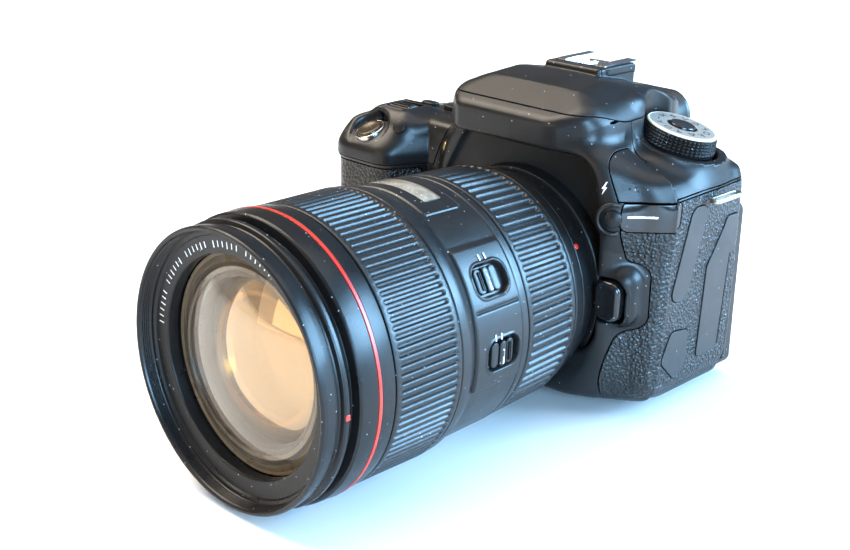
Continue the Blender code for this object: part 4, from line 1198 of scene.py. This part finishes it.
def make_front_details():
    profile = ring_profile([(BOSS_R - 0.3, 27.0), (BOSS_R - 0.3, BOSS_R), (BOSS_FRONT - 0.5, BOSS_R),
                            (BOSS_FRONT, BOSS_R - 0.5), (BOSS_FRONT, 27.0)], 0.4)
    dress(turned("mount_boss", profile, (0, 0, AXIS_Z), FORWARD, 180, True), "body", "camera_body", "body_plastic")
    spot, normal = front_spot(*FLASH_BUTTON)
    dress(pressed("flash_button_cap", circle(2.75, 40), -1.0, 1.0, spot, normal, (1, 0, 0), 0.7, crown=0.4), "control",
          "flash_button", "control_plastic", "flash_button")
    guard = []
    for n in range(41):
        turn = math.radians(62 + 236 * n / 40)
        guard.append((4.6 * math.cos(turn), 4.6 * math.sin(turn)))
    c_lip(guard, spot, normal)

    bolt = [(0.35, 2.3), (-0.95, -0.35), (-0.05, -0.2), (-0.5, -2.3), (0.95, 0.45), (0.05, 0.3), (0.75, 2.3)]
    place, normal = front_spot(36.2, 76.8)
    dress(pressed("flash_sign", np.array(bolt) * 0.85, -0.3, 0.05, place, normal, (1, 0, 0), edge=0.02), "white",
          "camera_body", "body_plastic")

    # the speaker holes are flat near-black discs: painted shade of the holes
    for n, (x, z) in enumerate(((0, 0), (1.25, 0.5), (-0.75, 1.15), (-1.3, -0.5), (0.65, -1.2))):
        place, normal = front_spot(43.4 + x, 77.4 + z)
        dress(pressed(f"speaker_hole_{n + 1}", circle(0.42, 20), -0.3, 0.03, place, normal, edge=0.02), "hole",
              "camera_body", "body_plastic")

    low, high = mm_box("lens_release_button")
    dress(pressed("release_cap", rectangle(high[0] - low[0] - 0.4, high[2] - low[2] - 0.4, 3.5), -3.0, 3.6,
                  (RELEASE[0], -43.2, RELEASE[2]), FORWARD, (1, 0, 0), edge=1.3, dish=0.25), "gloss",
                  "lens_release_button", "control_plastic", "lens_release_button")

    low, high = mm_box("self_timer_lamp")
    middle = (low + high) / 2
    place, normal = front_spot(middle[0], middle[2])
    dress(pressed("lamp_lens", circle(2.0, 40), -1.4, 0.35, place, normal, edge=0.4, crown=0.35), "lamp",
          "camera_body", "amber_lamp", "self_timer_lamp")
    dress(turned("lamp_bezel", ring_profile([(-1.4, 2.05), (-1.4, 2.7), (0.25, 2.7), (0.25, 2.05)], 0.15), place,
                 normal, 48, True), "body", "camera_body", "body_plastic")

    middle = np.mean(mm_box("depth_preview_button"), 0)
    place, normal = front_spot(middle[0], middle[2])
    dress(pressed("preview_cap", circle(3.2, 40), -2.0, 1.3, place, FORWARD, edge=0.7, dish=0.2), "control",
          "depth_preview_button", "control_plastic", "depth_preview_button")

    # a plain bar in the middle of the badge
    for n in range(7):
        a, normal_a = front_spot(43.2 + n * 0.9, 68.6)
        b, normal_b = front_spot(44.1 + n * 0.9, 68.6)
        middle = (a + b) / 2
        dress(stroke(f"badge_line_{n + 1}", (-np.linalg.norm(b - a) / 2, 0), (np.linalg.norm(b - a) / 2, 0), 0.7,
                     middle, (normal_a + normal_b) / 2, b - a, 0.1), "steel", "camera_body", "gloss_black")


def c_lip(guard, spot, normal):
    """The raised lip round the flash button, open towards the port side."""
    u, v, w = axes(normal, (1, 0, 0))
    section = [(-0.65, -0.6), (-0.6, 0.55), (-0.25, 0.9), (0.25, 0.9), (0.6, 0.55), (0.65, -0.6)]
    points, faces = [], []
    for n, (x, z) in enumerate(guard):
        fade = min(1.0, min(n, len(guard) - 1 - n) / 6 + 0.15)
        out = np.array([x, z]) / np.hypot(x, z)
        for across, rise in section:
            level = rise * fade if rise > 0 else rise
            points.append(spot + u * (x + out[0] * across) + v * (z + out[1] * across) + w * (0.1 + level))
    m = len(section)
    for n in range(len(guard) - 1):
        for k in range(m):
            a, b = n * m + k, n * m + (k + 1) % m
            faces.append((a, b, b + m, a + m))
    faces += [tuple(range(m)), tuple(reversed(range(len(guard) * m - m, len(guard) * m)))]
    dress(solid("flash_button_guard", points, faces, 60), "body", "camera_body", "body_plastic")


def make_side_details():
    """Signs and seams on the flaps of the port side, with the finger notches as painted shade."""
    def line(name, points, body, width=0.22, look="seam"):
        for n, (a, b) in enumerate(zip(points, points[1:])):
            start, normal = side_spot(*a)
            end, _ = side_spot(*b)
            start, end = start + normal * 0.33, end + normal * 0.33
            long = np.linalg.norm(end - start)
            dress(stroke(f"{name}_{n + 1}", (-long / 2, 0), (long / 2, 0), width, (start + end) / 2, normal,
                         end - start, 0.05), look, body, "cover_rubber")

    line("terminal_hinge", [(2.6, 17), (2.7, 25), (2.9, 48.7)], "terminal_cover")
    line("terminal_tee", [(0.4, 48.9), (5.4, 49.0)], "terminal_cover")
    line("terminal_foot", [(2.6, 24.6), (5.4, 24.6)], "terminal_cover")
    line("audio_sign", [(-17.6, 62.5), (-17.0, 65.6)], "audio_cover", 0.35)
    line("audio_sign_low", [(-23.9, 44.2), (-22.9, 44.2), (-22.9, 46.0), (-23.9, 46.0), (-23.9, 44.2)], "audio_cover",
         0.3)
    # the notches are dark strokes: painted shade in the finger notches
    line("audio_notch", [(-20.2, 49.0), (-17.6, 55.5)], "audio_cover", 0.5)
    line("remote_sign", [(-23.0, 20.5), (-21.2, 20.5), (-21.2, 24.0)], "remote_cover", 0.35)
    line("remote_notch", [(-17.3, 22.5), (-17.1, 26.0)], "remote_cover", 0.6)
    line("terminal_sign_1", [(-5.4, 29.5), (-5.4, 33.5)], "terminal_cover", 0.3)
    line("terminal_sign_2", [(-2.0, 29.0), (-2.0, 31.5)], "terminal_cover", 0.3)

    for node, side in (("strap_lug_port", 1), ("strap_lug_grip", -1)):
        low, high = mm_box(node)
        middle = (low + high) / 2
        depth, width = high[0] - low[0], high[1] - low[1]
        place = (middle[0] - side * 0.9, middle[1], middle[2])
        dress(frame_ring(node + "_loop", rectangle(depth - 0.8, width - 2.4, 1.7),
                         rectangle(depth - 2.5, width - 4.6, 0.6), -0.7, 0.7, place, (0, 0, 1), (1, 0, 0), 0.4),
                         "dull_steel", "camera_body", "bright_steel", node)
        spot, normal = on_body((middle[0], middle[1], middle[2]), (side, 0, 0))
        dress(pressed(node + "_plate", rectangle(width - 1.2, 2.6, 1.0), -0.9, 0.15, spot, normal, (0, 1, 0), 0.1),
              "screw", "camera_body", "bright_steel")


def make_base_details():
    low, high = mm_box("tripod_socket")
    middle = (low + high) / 2
    threads = []
    for n in range(7):
        threads += [(0.5 + n * 1.1, 3.1), (1.05 + n * 1.1, 3.5)]
    profile = [(0.0, 6.6), (-0.0, 3.7), *threads, (8.6, 3.1), (8.6, 6.6)]
    dress(turned("tripod_thread", ring_profile(profile, 0.1), (middle[0], middle[1], -0.02), (0, 0, 1), 72, True),
          "steel", "camera_body", "bright_steel", "tripod_socket")
    for n, (x, y) in enumerate(((-46, -24), (-46, 5), (20, 4), (38, -8), (-20, -29), (26, -24))):
        dress(pressed(f"base_screw_{n + 1}", circle(1.5, 28), -1.0, 0.1, (x, y, 0.02), (0, 0, -1), edge=0.3), "screw",
              "camera_body", "bright_steel")
        # the slots are near-black strokes on the screw heads: painted shade of the slots
        for k, turn in enumerate((0.3, 0.3 + math.pi / 2)):
            tip = np.array([math.cos(turn), math.sin(turn)]) * 0.8
            dress(stroke(f"base_screw_{n + 1}_slot_{k + 1}", -tip, tip, 0.36, (x, y, -0.08), (0, 0, -1), height=0.02),
                  "hole", "camera_body", "bright_steel")


# ---------------------------------------------------------------- the rear

def make_rear():
    low, high = mm_box("monitor")
    high[0] -= MONITOR_TRIM
    middle = (low + high) / 2
    width, height = high[0] - low[0], high[2] - low[2]
    back = (0, 1, 0)
    place = (middle[0], high[1], middle[2])
    dress(pressed("monitor_case", rectangle(width, height, 3.0), low[1] - high[1], 0.0, place, back, (-1, 0, 0), 1.1),
          "body", "monitor", "gloss_black", "monitor")
    dress(pressed("monitor_glass", rectangle(width - 7, height - 5, 1.6), -0.2, 0.22, place, back, (-1, 0, 0), 0.15),
          "screen_rim", "monitor", "gloss_black")
    dress(pressed("monitor_screen", rectangle(width - 13, height - 9, 0.5), 0.1, 0.26, place, back, (-1, 0, 0), 0.03),
          "display", "monitor", "gloss_black")
    grips = [(middle[0] - width / 2 + 1.2, middle[2] + 14), (middle[0] - width / 2 + 1.2, middle[2] - 14)]
    for n, (x, z) in enumerate(grips):
        dress(pressed(f"monitor_notch_{n + 1}", rectangle(1.4, 9, 0.6), -0.5, 0.25, (x, high[1], z), back, (-1, 0, 0),
                      0.2), "control", "monitor", "gloss_black")
    for n, z in enumerate((low[2] + 8, high[2] - 8)):
        dress(turned(f"monitor_hinge_{n + 1}", rounded_profile([(-5, 0.02), (-5, 2.3), (5, 2.3), (5, 0.02)], 0.5),
                     (high[0] - 1.6, high[1] - 5.4, z), (0, 0, 1), 48), "control", "monitor", "gloss_black")

    for name, centre in REAR_DISCS.items():
        radius = (mm_box(name)[1][0] - mm_box(name)[0][0]) / 2
        dress(pressed(name + "_cap", circle(radius, 44), -1.2, 1.3, (centre[0], REAR_Y, centre[2]), back, edge=0.5,
                      dish=0.1), "control", name, "control_plastic", name)
    extras = {"magnify": (-64, 68.5, 2.7), "reduce": (-74, 67.0, 2.7), "info": (30.5, 68.5, 3.2),
              "quick": (-40, 50, 2.9),
              "playback": (-40, 43, 2.9), "erase": (-40, 10, 2.9)}
    for name, (x, z, radius) in extras.items():
        spot, normal = on_body((x, 12, z), (0, 1, 0))
        dress(pressed(name + "_button_cap", circle(radius, 36), -1.5, 0.7, spot, normal, edge=0.4, crown=0.1),
              "control", "camera_body", "control_plastic")
        dress(stroke(name + "_sign", (-radius * 0.4, 0), (radius * 0.4, 0), 0.25, spot + normal * 0.76, normal),
              "white", "camera_body", "control_plastic")

    centre = np.mean(mm_box("quick_control_dial"), 0)
    centre[1] = REAR_Y
    ribs = 48

    def teeth(along, angle, radius):
        across = np.abs((angle * ribs / TAU) % 1.0 - 0.5) * 2
        return radius - np.where(radius > 13.4, 0.5 * ramp(across, 0.4, 0.8), 0)

    dress(turned("quick_dial_ring", ring_profile([(-1.6, 10.2), (-1.6, 14.4), (1.9, 14.4), (2.5, 13.5), (2.5, 11.6),
                                                  (1.2, 10.2)], 0.35), centre, back, ribs * 8, True, teeth, crease=45),
                                                  "control", "quick_control_dial", "control_plastic",
                                                  "quick_control_dial")
    dress(turned("multi_controller", ring_profile([(-1.4, 5.1), (-1.4, 9.8), (0.9, 9.8), (1.3, 9.0), (0.8, 5.4)], 0.3),
                 centre, back, 96, True), "control", "camera_body", "control_plastic")
    for n in range(8):
        turn = TAU * n / 8
        spot = centre + np.array([math.cos(turn) * 7.6, 1.15, math.sin(turn) * 7.6])
        dress(pressed(f"controller_arrow_{n + 1}", outline([(-0.55, -0.35), (0.55, -0.35), (0, 0.6)], 0.1, 2), -0.4,
                      0.1, spot, back, (math.sin(turn), 0, -math.cos(turn)), 0.04), "white", "camera_body",
                      "control_plastic")
    dress(pressed("set_cap", circle(4.4, 48), -1.5, 2.0, centre, back, edge=0.6, dish=0.25), "control", "set_button",
          "control_plastic", "set_button")
    spot, normal = on_body((-46, 12, 9.5), (0, 1, 0))
    dress(pressed("lock_lever", rectangle(7.5, 3.4, 1.4), -1.0, 1.3, spot, normal, (-1, 0, 0), 0.6, 0.2), "control",
          "camera_body", "control_plastic")
    spot, normal = on_body((-40, 12, 30), (0, 1, 0))
    dress(pressed("access_lamp", circle(0.9, 24), -0.6, 0.25, spot, normal, edge=0.2, crown=0.2), "lamp_red",
          "camera_body", "body_plastic")
    make_finder()


def make_finder():
    low, high = mm_box("eyecup")
    middle = (low + high) / 2
    back = (0, 1, 0)
    width, height = high[0] - low[0] - 2.4, high[2] - low[2] - 0.8
    opening = rectangle(23.0, 15.4, 4.6, 12)
    steps = [(5, 4, 7.0, 0), (3.6, 3, 7.4, 2), (2.6, 2, 7.6, 4.6), (0.8, 0.6, 8.0, 6.6), (0, 0, 8.2, 7.8),
             (1.4, 1.4, 7.8, 8.8)]
    levels = [(rectangle(width - a, height - b, corner, 12), low[1] + rise) for a, b, corner, rise in steps]
    levels += [(rectangle(width - 4.6, height - 4.4, 6.6, 12), high[1]), (rectangle(28, 19, 5.6, 12), high[1] - 1.2),
               (opening, high[1] - 3.4), (opening, low[1])]
    rows = [np.column_stack([loop, np.full(len(loop), level - low[1])]) for loop, level in levels]
    count = len(opening)
    points = put(np.concatenate(rows), (middle[0], low[1], middle[2]), back, (-1, 0, 0))
    dress(solid("eyecup_rubber", points, grid_faces(len(levels), count, True), 60), "cover", "eyecup", "cover_rubber",
          "eyecup")
    low, high = mm_box("eyepiece_lens")
    middle = (low + high) / 2
    dress(pressed("eyepiece_glass", rectangle(high[0] - low[0], high[2] - low[2], 2.8), 0.0, 1.6,
                  (middle[0], low[1], middle[2]), back, (-1, 0, 0), 0.2, crown=0.9), "display", "camera_body",
                  "coated_glass", "eyepiece_lens")
    dress(frame_ring("eyepiece_frame", rectangle(34, 21, 5.0), rectangle(21.6, 13.8, 3.0), -4.0, 4.2,
                     (middle[0], low[1] + 1.0, middle[2]), back, (-1, 0, 0), 0.4), "matt", "camera_body",
                     "body_plastic")
    low, high = mm_box("diopter_knob")
    middle = (low + high) / 2

    def shape(along, angle, radius):
        across = np.abs((angle * 22 / TAU) % 1.0 - 0.5) * 2
        return radius - 0.4 * ramp(across, 0.4, 0.8) * (radius > 3.9)

    dress(turned("diopter_wheel", rounded_profile([(-4.0, 0.02), (-4.0, 4.1), (4.0, 4.1), (4.0, 0.02)], 0.5), middle,
                 (1, 0, 0), 176, shape=shape, crease=45), "control", "diopter_knob", "control_plastic", "diopter_knob")


def make_flash():
    low, high = mm_box("flash_window")
    middle = (low + high) / 2
    dress(pressed("flash_tube_window", rectangle(high[0] - low[0], high[1] - low[1], 1.5), 0, 1.4,
                  (middle[0], middle[1], low[2] + 1.4), (0, 0, -1), (1, 0, 0), 0.25), "diffuser", "flash_head",
                  "coated_glass", "flash_window")
    for n in range(10):
        y = low[1] + (n + 1) * (high[1] - low[1]) / 11
        half = (high[0] - low[0]) / 2 - 1.5
        dress(stroke(f"flash_prism_{n + 1:02d}", (-half, 0), (half, 0), 0.5, (middle[0], y, low[2]), (0, 0, -1),
                     (1, 0, 0), 0.2), "diffuser", "flash_head", "coated_glass")


# ---------------------------------------------------------------- materials

MATERIALS = {}


class Look:
    """A Principled material, with helpers that wire procedural detail into it."""

    def __init__(self, name, colour, roughness, metallic=0.0, **sockets):
        self.made = bpy.data.materials.new(name)
        self.made.use_nodes = True
        self.tree = self.made.node_tree
        self.shader = self.tree.nodes["Principled BSDF"]
        self.colour = colour
        self.roughness = roughness
        self.shader.inputs["Base Color"].default_value = (*colour, 1.0)
        self.shader.inputs["Roughness"].default_value = roughness
        self.shader.inputs["Metallic"].default_value = metallic
        for key, value in sockets.items():
            self.shader.inputs[key.replace("_", " ")].default_value = value
        self.place = self.node("ShaderNodeTexCoord").outputs["Object"]
        MATERIALS[name] = self.made

    def node(self, kind, **values):
        made = self.tree.nodes.new(kind)
        for key, value in values.items():
            setattr(made, key, value)
        return made

    def link(self, start, end):
        self.tree.links.new(start, end)

    def noise(self, scale, detail=3.0, rough=0.55):
        made = self.node("ShaderNodeTexNoise")
        made.inputs["Scale"].default_value = scale
        made.inputs["Detail"].default_value = detail
        made.inputs["Roughness"].default_value = rough
        self.link(self.place, made.inputs["Vector"])
        return made.outputs["Fac"]

    def voronoi(self, scale, feature="F1", warp=0.0):
        made = self.node("ShaderNodeTexVoronoi", feature=feature)
        made.inputs["Scale"].default_value = scale
        vector = self.place
        if warp:
            noise = self.node("ShaderNodeTexNoise")
            noise.inputs["Scale"].default_value = scale * 0.7
            self.link(self.place, noise.inputs["Vector"])
            mix = self.node("ShaderNodeVectorMath", operation="MULTIPLY_ADD")
            mix.inputs[1].default_value = (warp, warp, warp)
            self.link(noise.outputs["Color"], mix.inputs[0])
            self.link(self.place, mix.inputs[2])
            vector = mix.outputs[0]
        self.link(vector, made.inputs["Vector"])
        return made.outputs["Distance"]

    def span(self, value, low, high, to_low, to_high):
        made = self.node("ShaderNodeMapRange")
        for key, number in zip(("From Min", "From Max", "To Min", "To Max"), (low, high, to_low, to_high)):
            made.inputs[key].default_value = number
        self.link(value, made.inputs["Value"])
        return made.outputs["Result"]

    def bump(self, height, depth, strength=1.0):
        made = self.node("ShaderNodeBump")
        made.inputs["Strength"].default_value = strength
        made.inputs["Distance"].default_value = depth
        self.link(height, made.inputs["Height"])
        previous = self.shader.inputs["Normal"].links
        if previous:
            self.link(previous[0].from_socket, made.inputs["Normal"])
        self.link(made.outputs["Normal"], self.shader.inputs["Normal"])
        return self

    def vary_roughness(self, value, change):
        self.link(self.span(value, 0.3, 0.7, self.roughness - change, self.roughness + change),
                  self.shader.inputs["Roughness"])
        return self

    def vary_colour(self, value, other, low=0.35, high=0.65):
        mix = self.node("ShaderNodeMix", data_type="RGBA")
        mix.inputs["A"].default_value = (*self.colour, 1)
        mix.inputs["B"].default_value = (*other, 1)
        self.link(self.span(value, low, high, 0.0, 1.0), mix.inputs["Factor"])
        previous = self.shader.inputs["Base Color"].links
        if previous:
            self.link(previous[0].from_socket, mix.inputs["A"])
        self.link(mix.outputs["Result"], self.shader.inputs["Base Color"])
        return self

    def worn(self, change, *noise):
        return self.vary_roughness(self.noise(*noise), change)

    def grain(self, depth, *noise):
        return self.bump(self.noise(*noise), depth)

    def stained(self, other, *noise):
        return self.vary_colour(self.noise(*noise), other)

    def dust(self, scale=330.0, size=0.055):
        """A few pale specks."""
        return self.vary_colour(self.voronoi(scale), (0.35, 0.37, 0.4), size + 0.02, size)


def plastic(name, colour, roughness, grain, depth, dusty=True, **sockets):
    look = Look(name, colour, roughness, **sockets)
    look.vary_colour(look.noise(60, 4), tuple(c * 1.5 for c in colour))
    look.vary_roughness(look.noise(140, 5), 0.05)
    look.bump(look.noise(grain, 2, 0.6), depth)
    if dusty:
        look.dust()
    return look


def make_materials():
    plastic("body", (0.007, 0.007, 0.0075), 0.36, 2600, 0.00004, Specular_IOR_Level=0.27)
    plastic("satin", (0.006, 0.0063, 0.007), 0.33, 3000, 0.00005, Specular_IOR_Level=0.4)
    plastic("front_satin", (0.006, 0.006, 0.0065), 0.30, 3000, 0.00003, Specular_IOR_Level=0.25)
    plastic("control", (0.006, 0.006, 0.0065), 0.34, 2600, 0.00003, Specular_IOR_Level=0.25)
    # also put on the faces inside the mount recess as painted shade
    plastic("matt", (0.006, 0.006, 0.006), 0.6, 2200, 0.00003, False, Specular_IOR_Level=0.3)
    plastic("gloss", (0.006, 0.006, 0.007), 0.14, 1200, 0.000008, Specular_IOR_Level=0.55)
    plastic("badge", (0.006, 0.006, 0.007), 0.10, 900, 0.000006, Specular_IOR_Level=0.55)
    plastic("bronze", (0.045, 0.036, 0.022), 0.26, 2600, 0.00002, False, Metallic=0.55)
    plastic("ribs", (0.007, 0.0072, 0.008), 0.36, 2400, 0.00005, Specular_IOR_Level=0.4).grain(0.00003, 700, 2)

    plastic("cover", (0.009, 0.0093, 0.010), 0.40, 2800, 0.00003, Specular_IOR_Level=0.5).grain(0.00012, 90, 2)

    leather = Look("leather", (0.006, 0.006, 0.0062), 0.38, Specular_IOR_Level=0.42)
    grain = leather.voronoi(950, "F1", 0.0006)
    # lighter on the tops of the pebbles: painted highlight
    leather.vary_colour(grain, (0.014, 0.014, 0.0145), 0.7, 0.1)
    leather.worn(0.07, 1500, 3)
    leather.bump(leather.span(grain, 0.0, 0.75, 1.0, 0.0), 0.00045)
    leather.grain(0.00004, 4200, 2)
    leather.dust(280, 0.05)

    plastic("red", (0.42, 0.014, 0.008), 0.35, 1800, 0.00001, False).stained((0.5, 0.03, 0.014), 90, 2)
    plastic("white", (0.78, 0.78, 0.76), 0.5, 1800, 0.00001, False)
    plastic("ink", (0.02, 0.02, 0.02), 0.5, 1800, 0.00001, False)
    plastic("cream", (0.72, 0.68, 0.55), 0.35, 1500, 0.00001, False)
    # near-black paint standing for the shade inside holes and slots
    plastic("hole", (0.002, 0.002, 0.002), 0.8, 1500, 0.00001, False)
    # also used for the dark strokes that are painted shade in the finger notches
    plastic("seam", (0.003, 0.003, 0.003), 0.6, 1500, 0.00001, False)

    brushed = Look("brushed", (0.52, 0.51, 0.48), 0.4, 0.7)
    brushed.worn(0.12, 900, 4)
    brushed.stained((0.42, 0.41, 0.39), 900, 4)
    brushed.grain(0.00003, 2500, 3)
    steel = Look("steel", (0.62, 0.62, 0.62), 0.22, 1.0)
    steel.worn(0.09, 260, 5)
    steel.stained((0.48, 0.47, 0.46), 180, 4)
    steel.grain(0.00001, 1500, 3)
    Look("dull_steel", (0.34, 0.31, 0.27), 0.34, 1.0).worn(0.1, 300, 4).grain(0.00001, 1500, 3)
    Look("screw", (0.05, 0.05, 0.055), 0.3, 1.0).worn(0.08, 500, 3).grain(0.00001, 1500, 2)
    Look("gold", (0.75, 0.52, 0.2), 0.2, 1.0).worn(0.06, 300, 3).stained((0.6, 0.4, 0.14), 120, 3)

    glass = Look("coated_glass", (1.0, 0.97, 0.93), 0.015, Transmission_Weight=1.0, IOR=1.52)
    glass.shader.inputs["Specular Tint"].default_value = (1.0, 0.86, 0.66, 1)
    glass.worn(0.01, 60, 2)
    amber = Look("amber_glass", (0.86, 0.62, 0.36), 0.03, 0.2, Transmission_Weight=0.9, IOR=1.6)
    amber.shader.inputs["Specular Tint"].default_value = (1.0, 0.82, 0.55, 1)
    amber.worn(0.015, 50, 2)
    violet = Look("violet_glass", (0.75, 0.66, 0.72), 0.03, 0.2, Transmission_Weight=0.8, IOR=1.7)
    violet.shader.inputs["Specular Tint"].default_value = (0.9, 0.8, 1.0, 1)
    violet.worn(0.015, 50, 2)
    plastic("baffle", (0.075, 0.05, 0.03), 0.35, 1200, 0.00001, False)
    # a lighter copy of the baffle material: painted light for alternate baffle rings
    plastic("baffle_painted_lit", (0.16, 0.11, 0.065), 0.3, 1200, 0.00001, False)
    Look("blade", (0.03, 0.03, 0.035), 0.35, 0.7).worn(0.08, 400, 3)

    window = Look("window", (0.22, 0.195, 0.155), 0.08, 0.0, Coat_Weight=0.6, Coat_Roughness=0.03)
    window.stained((0.34, 0.31, 0.26), 300, 3)
    window.grain(0.000006, 800, 2)
    display = Look("display", (0.004, 0.005, 0.007), 0.06, 0.0, Specular_IOR_Level=0.7, Coat_Weight=0.5,
                   Coat_Roughness=0.02)
    display.worn(0.02, 200, 3)
    Look("screen_rim", (0.005, 0.005, 0.005), 0.12).worn(0.03, 200, 3)
    Look("diffuser", (0.8, 0.82, 0.84), 0.25, Transmission_Weight=0.5).grain(0.00004, 900, 2)
    lamp = Look("lamp", (0.55, 0.38, 0.13), 0.12, 0.35, Coat_Weight=0.7)
    lamp.vary_colour(lamp.noise(330, 2), (0.12, 0.08, 0.03), 0.5, 0.56)
    Look("lamp_red", (0.25, 0.01, 0.01), 0.15, Coat_Weight=0.5).worn(0.03, 500, 2)

    board = Look("board", (0.02, 0.10, 0.045), 0.4)
    board.vary_colour(board.voronoi(160), (0.25, 0.2, 0.1), 0.15, 0.1)
    Look("sensor", (0.05, 0.10, 0.16), 0.08, 0.6).stained((0.12, 0.05, 0.16), 90, 2)
    Look("cell", (0.05, 0.05, 0.055), 0.45).stained((0.08, 0.08, 0.085), 90, 3)
    Look("mirror", (0.85, 0.86, 0.87), 0.03, 1.0).worn(0.015, 90, 2)
    Look("chassis", (0.03, 0.03, 0.032), 0.5, 0.5).worn(0.1, 300, 3)


CARRIED = {
    "mirror_box": "chassis", "shutter_unit": "chassis", "reflex_mirror": "mirror", "image_sensor": "sensor",
    "focusing_screen": "coated_glass", "pentaprism": "coated_glass", "main_board": "board", "battery": "cell",
    "memory_card": "sensor", "rear_glass": "coated_glass",
}


def dress_carried():
    """Materials of the CAD nodes that stay."""
    for node, look in CARRIED.items():
        for slot in frame["nodes"][node].material_slots:
            slot.material = MATERIALS[look]


# ---------------------------------------------------------------- stage, lights and camera

CAMERA_AT = Vector((0.27792, -0.37106, 0.19464))
CAMERA_RIGHT = Vector((0.7126, 0.7013, 0.0180))
CAMERA_UP = Vector((-0.2525, 0.2325, 0.9393))
FOCAL = 59.345
TARGET = Vector((-0.01, -0.05, 0.045))


def make_camera():
    data = bpy.data.cameras.new("camera")
    data.sensor_width = 36.0
    data.lens = FOCAL
    data.clip_start = 0.01
    camera = bpy.data.objects.new("camera", data)
    bpy.context.scene.collection.objects.link(camera)
    right = CAMERA_RIGHT.normalized()
    back = right.cross(CAMERA_UP).normalized()
    up = back.cross(right)
    turn = Matrix((right, up, back)).transposed().to_4x4()
    camera.matrix_world = Matrix.Translation(CAMERA_AT) @ turn
    bpy.context.scene.camera = camera


def area_light(name, place, width, height, power, colour):
    data = bpy.data.lights.new(name, "AREA")
    data.shape = "RECTANGLE"
    data.size, data.size_y = width, height
    data.energy = power
    data.color = colour
    light = bpy.data.objects.new(name, data)
    bpy.context.scene.collection.objects.link(light)
    light.location = place
    light.rotation_euler = (TARGET - light.location).to_track_quat("-Z", "Y").to_euler()
    return light


WORLD = 0.36                   # strength of the surroundings


def make_world():
    """A dim room, cool on the window's side and warm on the other."""
    world = bpy.data.worlds.new("world")
    world.use_nodes = True
    tree = world.node_tree
    background = tree.nodes["Background"]
    place = tree.nodes.new("ShaderNodeTexCoord")
    dot = tree.nodes.new("ShaderNodeVectorMath")
    dot.operation = "DOT_PRODUCT"
    dot.inputs[1].default_value = (0.71, 0.70, 0.1)
    tree.links.new(place.outputs["Generated"], dot.inputs[0])
    ramp_node = tree.nodes.new("ShaderNodeValToRGB")
    span = tree.nodes.new("ShaderNodeMapRange")
    span.inputs["From Min"].default_value = -1.0
    tree.links.new(dot.outputs["Value"], span.inputs["Value"])
    tree.links.new(span.outputs["Result"], ramp_node.inputs["Fac"])
    colours = ramp_node.color_ramp.elements
    colours[0].position, colours[0].color = 0.35, (0.66, 0.50, 0.34, 1)
    colours[1].position, colours[1].color = 0.8, (0.45, 0.78, 1.2, 1)
    tree.links.new(ramp_node.outputs["Color"], background.inputs["Color"])
    background.inputs["Strength"].default_value = WORLD
    bpy.context.scene.world = world


def make_stage():
    bm = bmesh.new()
    bmesh.ops.create_grid(bm, x_segments=1, y_segments=1, size=4.0)
    mesh = bpy.data.meshes.new("floor")
    bm.to_mesh(mesh)
    bm.free()
    floor = bpy.data.objects.new("floor", mesh)
    bpy.context.scene.collection.objects.link(floor)
    floor.rotation_euler = (math.atan2(2.0, 112.0), 0, 0)
    floor.location = (0, -0.030, 0)
    surface = Look("floor", (0.93, 0.935, 0.95), 0.6)
    surface.vary_roughness(surface.noise(20, 2), 0.05)
    mesh.materials.append(surface.made)
    make_world()
    area_light("window", (1.25, 1.05, 0.7), 1.2, 0.9, 84, (0.40, 0.70, 1.0))
    glow = area_light("window_glow", (1.2, 1.0, 0.72), 1.1, 0.8, 66, (0.26, 0.60, 1.0))
    glow.visible_diffuse = False
    glow = area_light("window_front_glow", (1.3, -0.72, 0.5), 0.7, 0.6, 34, (0.28, 0.62, 1.0))
    glow.visible_diffuse = False
    area_light("window_front", (1.3, -0.75, 0.45), 0.7, 0.6, 30, (0.40, 0.70, 1.0))
    area_light("room", (-1.0, -0.35, 1.5), 1.2, 1.2, 56, (1.0, 0.88, 0.74))
    area_light("ceiling", (0.3, 0.2, 2.4), 2.4, 2.4, 40, (1.0, 0.98, 0.95))
    area_light("card", (-0.35, -1.3, 0.35), 0.7, 0.7, 5, (1.0, 0.82, 0.6))
    scene = bpy.context.scene
    scene.view_settings.view_transform = "Standard"
    scene.view_settings.exposure = 0.0


make_camera()
make_materials()
build_body()
make_lens()
make_top_controls()
make_shoe()
make_front_details()
make_side_details()
make_base_details()
make_rear()
make_flash()
dress_carried()
make_stage()
